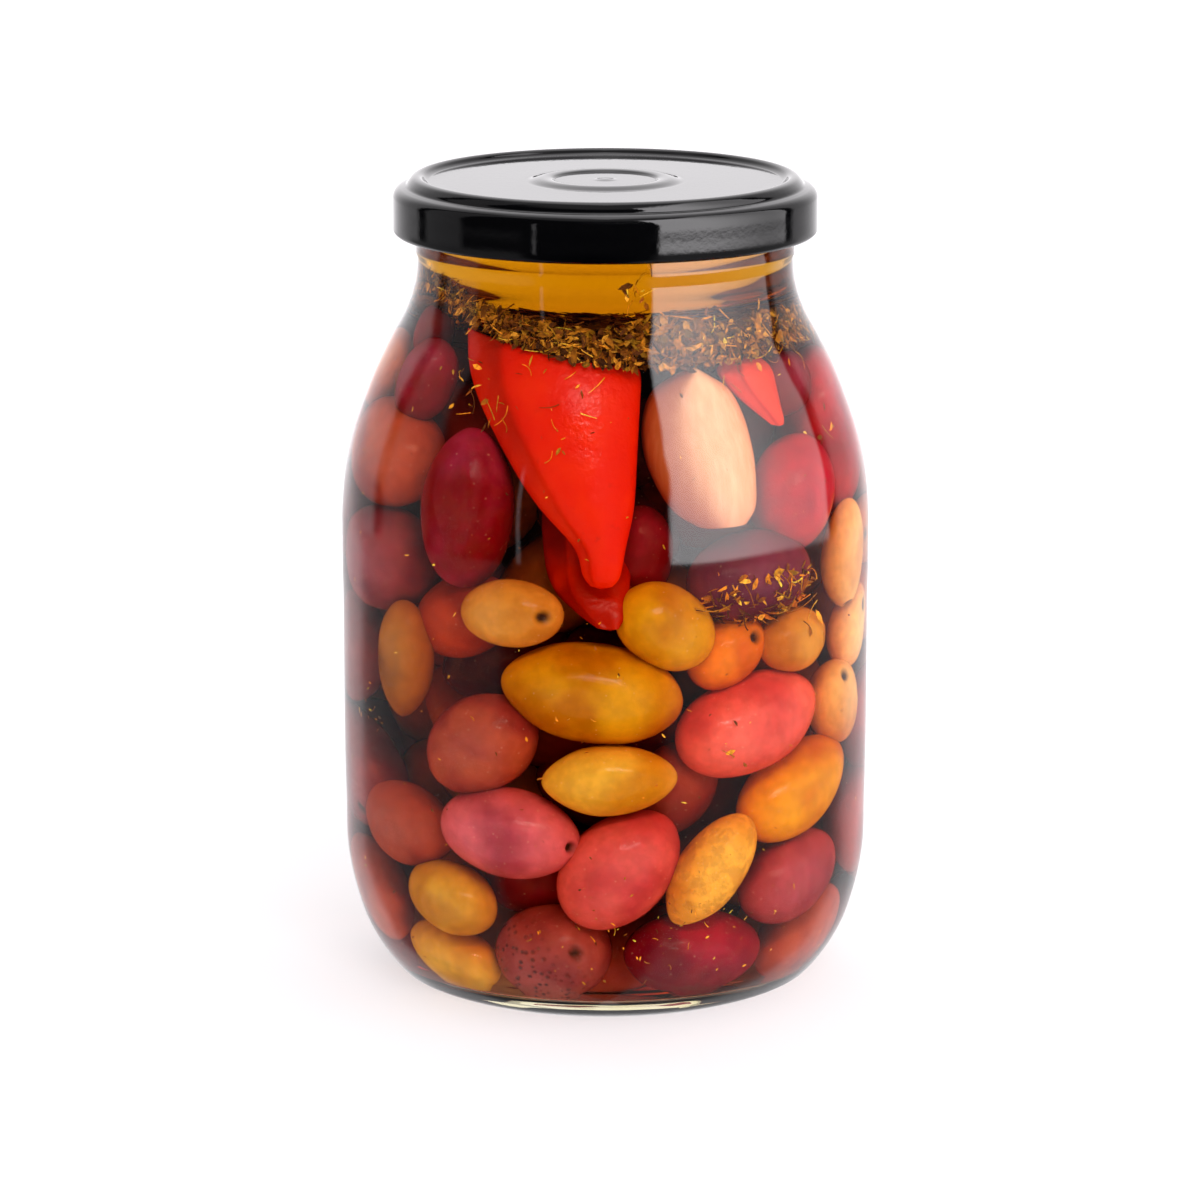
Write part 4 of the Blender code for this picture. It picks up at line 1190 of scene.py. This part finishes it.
def mat_pieces(rng):
    """Thousands of flakes at the mat's edge and faces, and stems at its edge."""
    parts = []
    for _ in range(MAT_FLAKES_EDGE):
        azimuth = rng.uniform(-180, 180)
        low, high = mat_edge(azimuth)
        height = rng.uniform(low - 0.3, high + 0.2)
        radius = float(glass_inside(height)) - 0.4 - 3.2 * rng.uniform(0, 1) ** 1.5
        facing = place(azimuth, 0.8, 0.6)
        parts.append(random_leaf(rng, place(azimuth, radius, height), facing, 2.3))
    for _ in range(MAT_FLAKES_FACE):
        azimuth = rng.uniform(-180, 180)
        upper = rng.uniform() < 0.65
        radius = MAT_FACE_RADIUS * math.sqrt(rng.uniform())
        height = float(herb_face(azimuth, radius, upper)) + rng.uniform(-0.5, 0.3)
        facing = np.array([0, 0, 1.0])
        parts.append(random_leaf(rng, place(azimuth, radius, height), facing, 2.6))
    for _ in range(MAT_STEMS):
        azimuth = rng.uniform(-180, 180)
        low, high = mat_edge(azimuth)
        height = rng.uniform(low, high + 0.4)
        radius = float(glass_inside(height)) - rng.uniform(0.8, 3.0)
        spot = place(azimuth, radius, height)
        parts.append(random_stem(rng, spot, rng.uniform(2, 9), rng.uniform(0.1, 0.22), 2.2))
    return parts


def make_bed(look, rng):
    """The bed of the mat, with a wavy face under and over, and painted shade on its lower part."""
    rings = []
    azimuth = np.linspace(-180, 180, 96, endpoint=False)
    for share, lift in BED_RINGS:
        low = herb_face(azimuth, share * HERB_EDGE_RADIUS, False) + BED_SHRINK
        high = herb_face(azimuth, share * HERB_EDGE_RADIUS, True) - BED_SHRINK
        height = low + (high - low) * lift + rng.uniform(-0.3, 0.3, len(azimuth))
        rings.append(place(azimuth, share * (contents_reach(height) - 1.2), height))
    ends = ((0, 0, HERB_MIDDLE[0] + BED_SHRINK), (0, 0, HERB_MIDDLE[1] - BED_SHRINK))
    points, faces = skin_over(np.array(rings)[::-1], *ends)
    upper = points[:, 2] > interface(azimuth_of(points), np.hypot(points[:, 0], points[:, 1]))
    # Painted shade: the bed is darker below where oil meets brine.
    tone = np.where(upper[:, None], linear(BED_LIT_AND_SHADED_COLOURS[0]), linear(BED_LIT_AND_SHADED_COLOURS[1]))
    return make("herb_bed", points, faces, [look], {"skin": tone})


def make_herbs(name, look, parts):
    points, faces, colours = joined([kept_inside(part) for part in parts])
    return make(name, points, faces, [look], colours)


def make_herb_mat(look):
    """The floating mat: loose flakes and stems, and the bed under them."""
    rng = np.random.default_rng(HERB_SEED)
    return [make_herbs("herb_flakes", look, mat_pieces(rng)), make_bed(look, rng)]


def herby_pieces(rng, middle, axis):
    """The stems and flakes that lie on the herby olive."""
    parts = []
    outward = outward_at(middle)
    down = np.cross(axis, outward)
    down = down if down[2] < 0 else -down
    for k in range(HERBY_PIECES):
        t = rng.uniform(-0.92, 0.92)
        turn = rng.uniform(-0.25, 1.25)
        aim = outward * math.cos(turn) + down * math.sin(turn)
        girth = HERBY_OLIVE.width / 2 * math.sqrt(1 - t * t)
        spot = middle + axis * t * HERBY_OLIVE.length / 2 + aim * (girth + rng.uniform(0.1, 0.8))
        if k % 6 == 0:
            parts.append(random_stem(rng, spot, rng.uniform(5, 12), 0.19, 2.2, flat=0.6))
        elif k % 6 == 1:
            parts.append(random_stem(rng, spot, rng.uniform(2, 4), 0.24, 2.6))
        else:
            parts.append(random_leaf(rng, spot, aim, 2.3, 2.2))
    return parts


def cluster_pieces(rng):
    """The clusters of herbs between the contents and the glass."""
    parts = []
    for azimuth, height, spread, count, size in HERB_CLUSTERS:
        for _ in range(count):
            across, up = rng.normal(0, spread, 2)
            level = height + up
            radius = float(glass_inside(level)) - rng.uniform(0.35, 0.9)
            spot = place(azimuth + math.degrees(across / radius), radius, level)
            if rng.uniform() < 0.35:
                length = rng.uniform(1.5, 2.6) * size
                parts.append(random_stem(rng, spot, length, 0.13, 2.6, flat=1.5))
            else:
                parts.append(random_leaf(rng, spot, place(azimuth, 1.0, 0.0), size, 2.4))
    return parts


def drifting_pieces(rng):
    """Small flakes that drift in the brine."""
    parts = []
    for _ in range(DRIFTING_FLAKES):
        azimuth = rng.uniform(-180, 180)
        height = 8 + 120 * rng.uniform() ** 1.2
        radius = float(glass_inside(height)) - 0.45 - rng.uniform(0, 0.5)
        spot = place(azimuth, radius, height)
        facing = place(azimuth, 1.0, 0.0)
        parts.append(random_leaf(rng, spot, facing, 0.75, 2.6))
    return parts


def make_loose_herbs(look, places):
    """Flakes and stems that lie on the olives and peppers and drift in the brine."""
    rng = np.random.default_rng(HERB_SEED + 1)
    parts = herby_pieces(rng, *places[HERBY_OLIVE]) + cluster_pieces(rng) + drifting_pieces(rng)
    return make_herbs("loose_herbs", look, parts)


# Light, floor and camera

def table_light(n, azimuth):
    """What lies below the horizon, by azimuth."""
    table = n.add("FloatCurve", {"Value": n.ramp(azimuth, -180, 180, kind="LINEAR")})
    curve = table.mapping.curves[0]
    for index, (at, radiance) in enumerate(TABLE_LIGHT):
        spot = ((at + 180) / 360, radiance)
        if index in (0, len(TABLE_LIGHT) - 1):
            curve.points[0 if index == 0 else -1].location = spot
        else:
            curve.points.new(*spot)
    table.mapping.update()
    return table.outputs[0]


def mirrored_light(n, azimuth, elevation, turned_away, behind):
    """What the glass and the lid mirror: soft lights, a backdrop, a ceiling and the table."""
    mirrored = FRONT_DARK
    for box in SOFTBOXES:
        across = n.between(azimuth, box.left, box.right, box.edge)
        inside = n.times(across, n.between(elevation, box.low, box.high, BOX_SOFTNESS))
        fade = n.ramp(azimuth, KEY_FADE[0], KEY_FADE[1], 1.0, KEY_FADE[2])
        strength = n.times(fade, box.radiance) if box.left > 0 else box.radiance
        mirrored = n.math("ADD", mirrored, n.times(inside, strength))
    backdrop = n.ramp(turned_away, *BACKDROP_GROWS, BACKDROP_SIDE, BACKDROP)
    mirrored = n.math("ADD", mirrored, n.times(behind, backdrop))
    overhead = (OVERHEAD_FROM - OVERHEAD_EDGE, OVERHEAD_FROM + OVERHEAD_EDGE)
    mirrored = n.math("ADD", mirrored, n.ramp(elevation, *overhead, 0.0, OVERHEAD))
    low = n.ramp(elevation, TABLE_FROM[1], TABLE_FROM[0], 1.0, 0.0)
    return n.blend(low, mirrored, table_light(n, azimuth))


def soft_light(n, azimuth, elevation, behind):
    """The light on all that isn't a mirror."""
    lamp = n.times(n.between(azimuth, *LAMP_SPAN), n.between(elevation, *LAMP_RISE))
    soft = SOFT_LIGHT
    for part, strength in ((n.between(azimuth, *KEY_SPAN), SOFT_KEY),
                           (n.between(azimuth, *FILL_SPAN), SOFT_FILL),
                           (behind, SOFT_BACK), (lamp, SOFT_LAMP)):
        soft = n.math("MULTIPLY_ADD", part, strength, soft)
    return soft


def make_world():
    """The studio by direction: what the glass and the lid mirror, and softer light on the rest.

    Azimuth runs from -180 to 180 degrees with 0 towards the camera, elevation from -90.
    """
    world = bpy.data.worlds.new("studio")
    bpy.context.scene.world = world
    world.use_nodes = True
    world.node_tree.nodes.clear()
    n = Nodes(world.node_tree)
    direction = n.add("SeparateXYZ", {"Vector": n.add("TexCoord").outputs["Generated"]})
    x, y, z = direction.outputs
    azimuth = n.times(n.math("ARCTAN2", x, n.times(y, -1.0)), 180 / math.pi)
    elevation = n.times(n.math("ARCSINE", z), 180 / math.pi)

    turned_away = n.math("ABSOLUTE", azimuth)
    behind = n.ramp(turned_away, BACKDROP_FROM - BACKDROP_EDGE, BACKDROP_FROM + BACKDROP_EDGE)
    mirrored = mirrored_light(n, azimuth, elevation, turned_away, behind)
    soft = soft_light(n, azimuth, elevation, behind)
    path = n.add("LightPath").outputs
    not_diffuse = n.math("SUBTRACT", 1.0, path["Is Diffuse Ray"])
    mirror = n.times(path["Is Reflection Ray"], not_diffuse)
    strength = n.blend(mirror, soft, mirrored)
    strength = n.blend(path["Is Camera Ray"], strength, 1.0)
    tint = n.mix(mirror, WHITE, MIRROR_TINT)
    light = n.add("Background", {"Color": tint, "Strength": strength})
    n.set(n.add("OutputWorld").inputs["Surface"], light.outputs[0])


def make_floor():
    points = [(x * TABLE_HALF, y * TABLE_HALF, 0) for x, y in ((-1, -1), (1, -1), (1, 1), (-1, 1))]
    floor = make("table", points, [(0, 1, 2, 3)], [material("white_table", floor_look)])
    floor.location.z = -TABLE_DROP * MM
    floor.visible_glossy = False


def make_camera():
    data = bpy.data.cameras.new("camera")
    data.sensor_width = SENSOR_MM
    data.lens = SENSOR_MM * FOCAL_PX / PHOTO_WIDTH
    data.shift_x = -(AIM_PX[0] - PHOTO_WIDTH / 2) / PHOTO_WIDTH
    data.shift_y = (AIM_PX[1] - PHOTO_WIDTH / 2) / PHOTO_WIDTH
    camera = bpy.data.objects.new("camera", data)
    camera.location = (0, -CAMERA_DISTANCE, CAMERA_HEIGHT)
    aim = Vector((0, 0, AIM_HEIGHT)) - camera.location
    camera.rotation_euler = aim.to_track_quat("-Z", "Y").to_euler()
    bpy.context.scene.collection.objects.link(camera)
    bpy.context.scene.camera = camera


def dress(piece, slot, *nodes):
    """Puts the piece on the one body and hides the nodes it stands for. slot is not used."""
    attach(piece, "root")
    if nodes:
        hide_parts(*nodes)


def corners(bounds):
    return [list(corner) for corner in bounds]


def main():
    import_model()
    bpy.context.scene.view_settings.view_transform = "Standard"
    make_camera()
    make_world()
    make_floor()
    dress(make_jar(), "glass", "jar")
    dress(make_lid(), "lid", "lid")
    for name, settings in (("brine", BRINE), ("oil", OIL)):
        look = material(name, liquid_look, *settings)
        dress(make_liquid(name, look, name == "oil"), "glass")
    olives, places = make_olives()
    for piece in olives:
        dress(piece, "olives", "olives")
    pepper = material("red_pepper", pepper_look)
    for seed, name in enumerate(("pepper_front", "pepper_lower", "pepper_side")):
        dress(make_pepper(name, pepper, seed), "pepper", name)
    dress(make_clove(material("garlic", garlic_look)), "garlic", "garlic_clove")
    herbs = material("dried_herbs", herb_look)
    for piece in make_herb_mat(herbs):
        dress(piece, "herbs", "herb_layer")
    dress(make_loose_herbs(herbs, places), "herbs")


main()
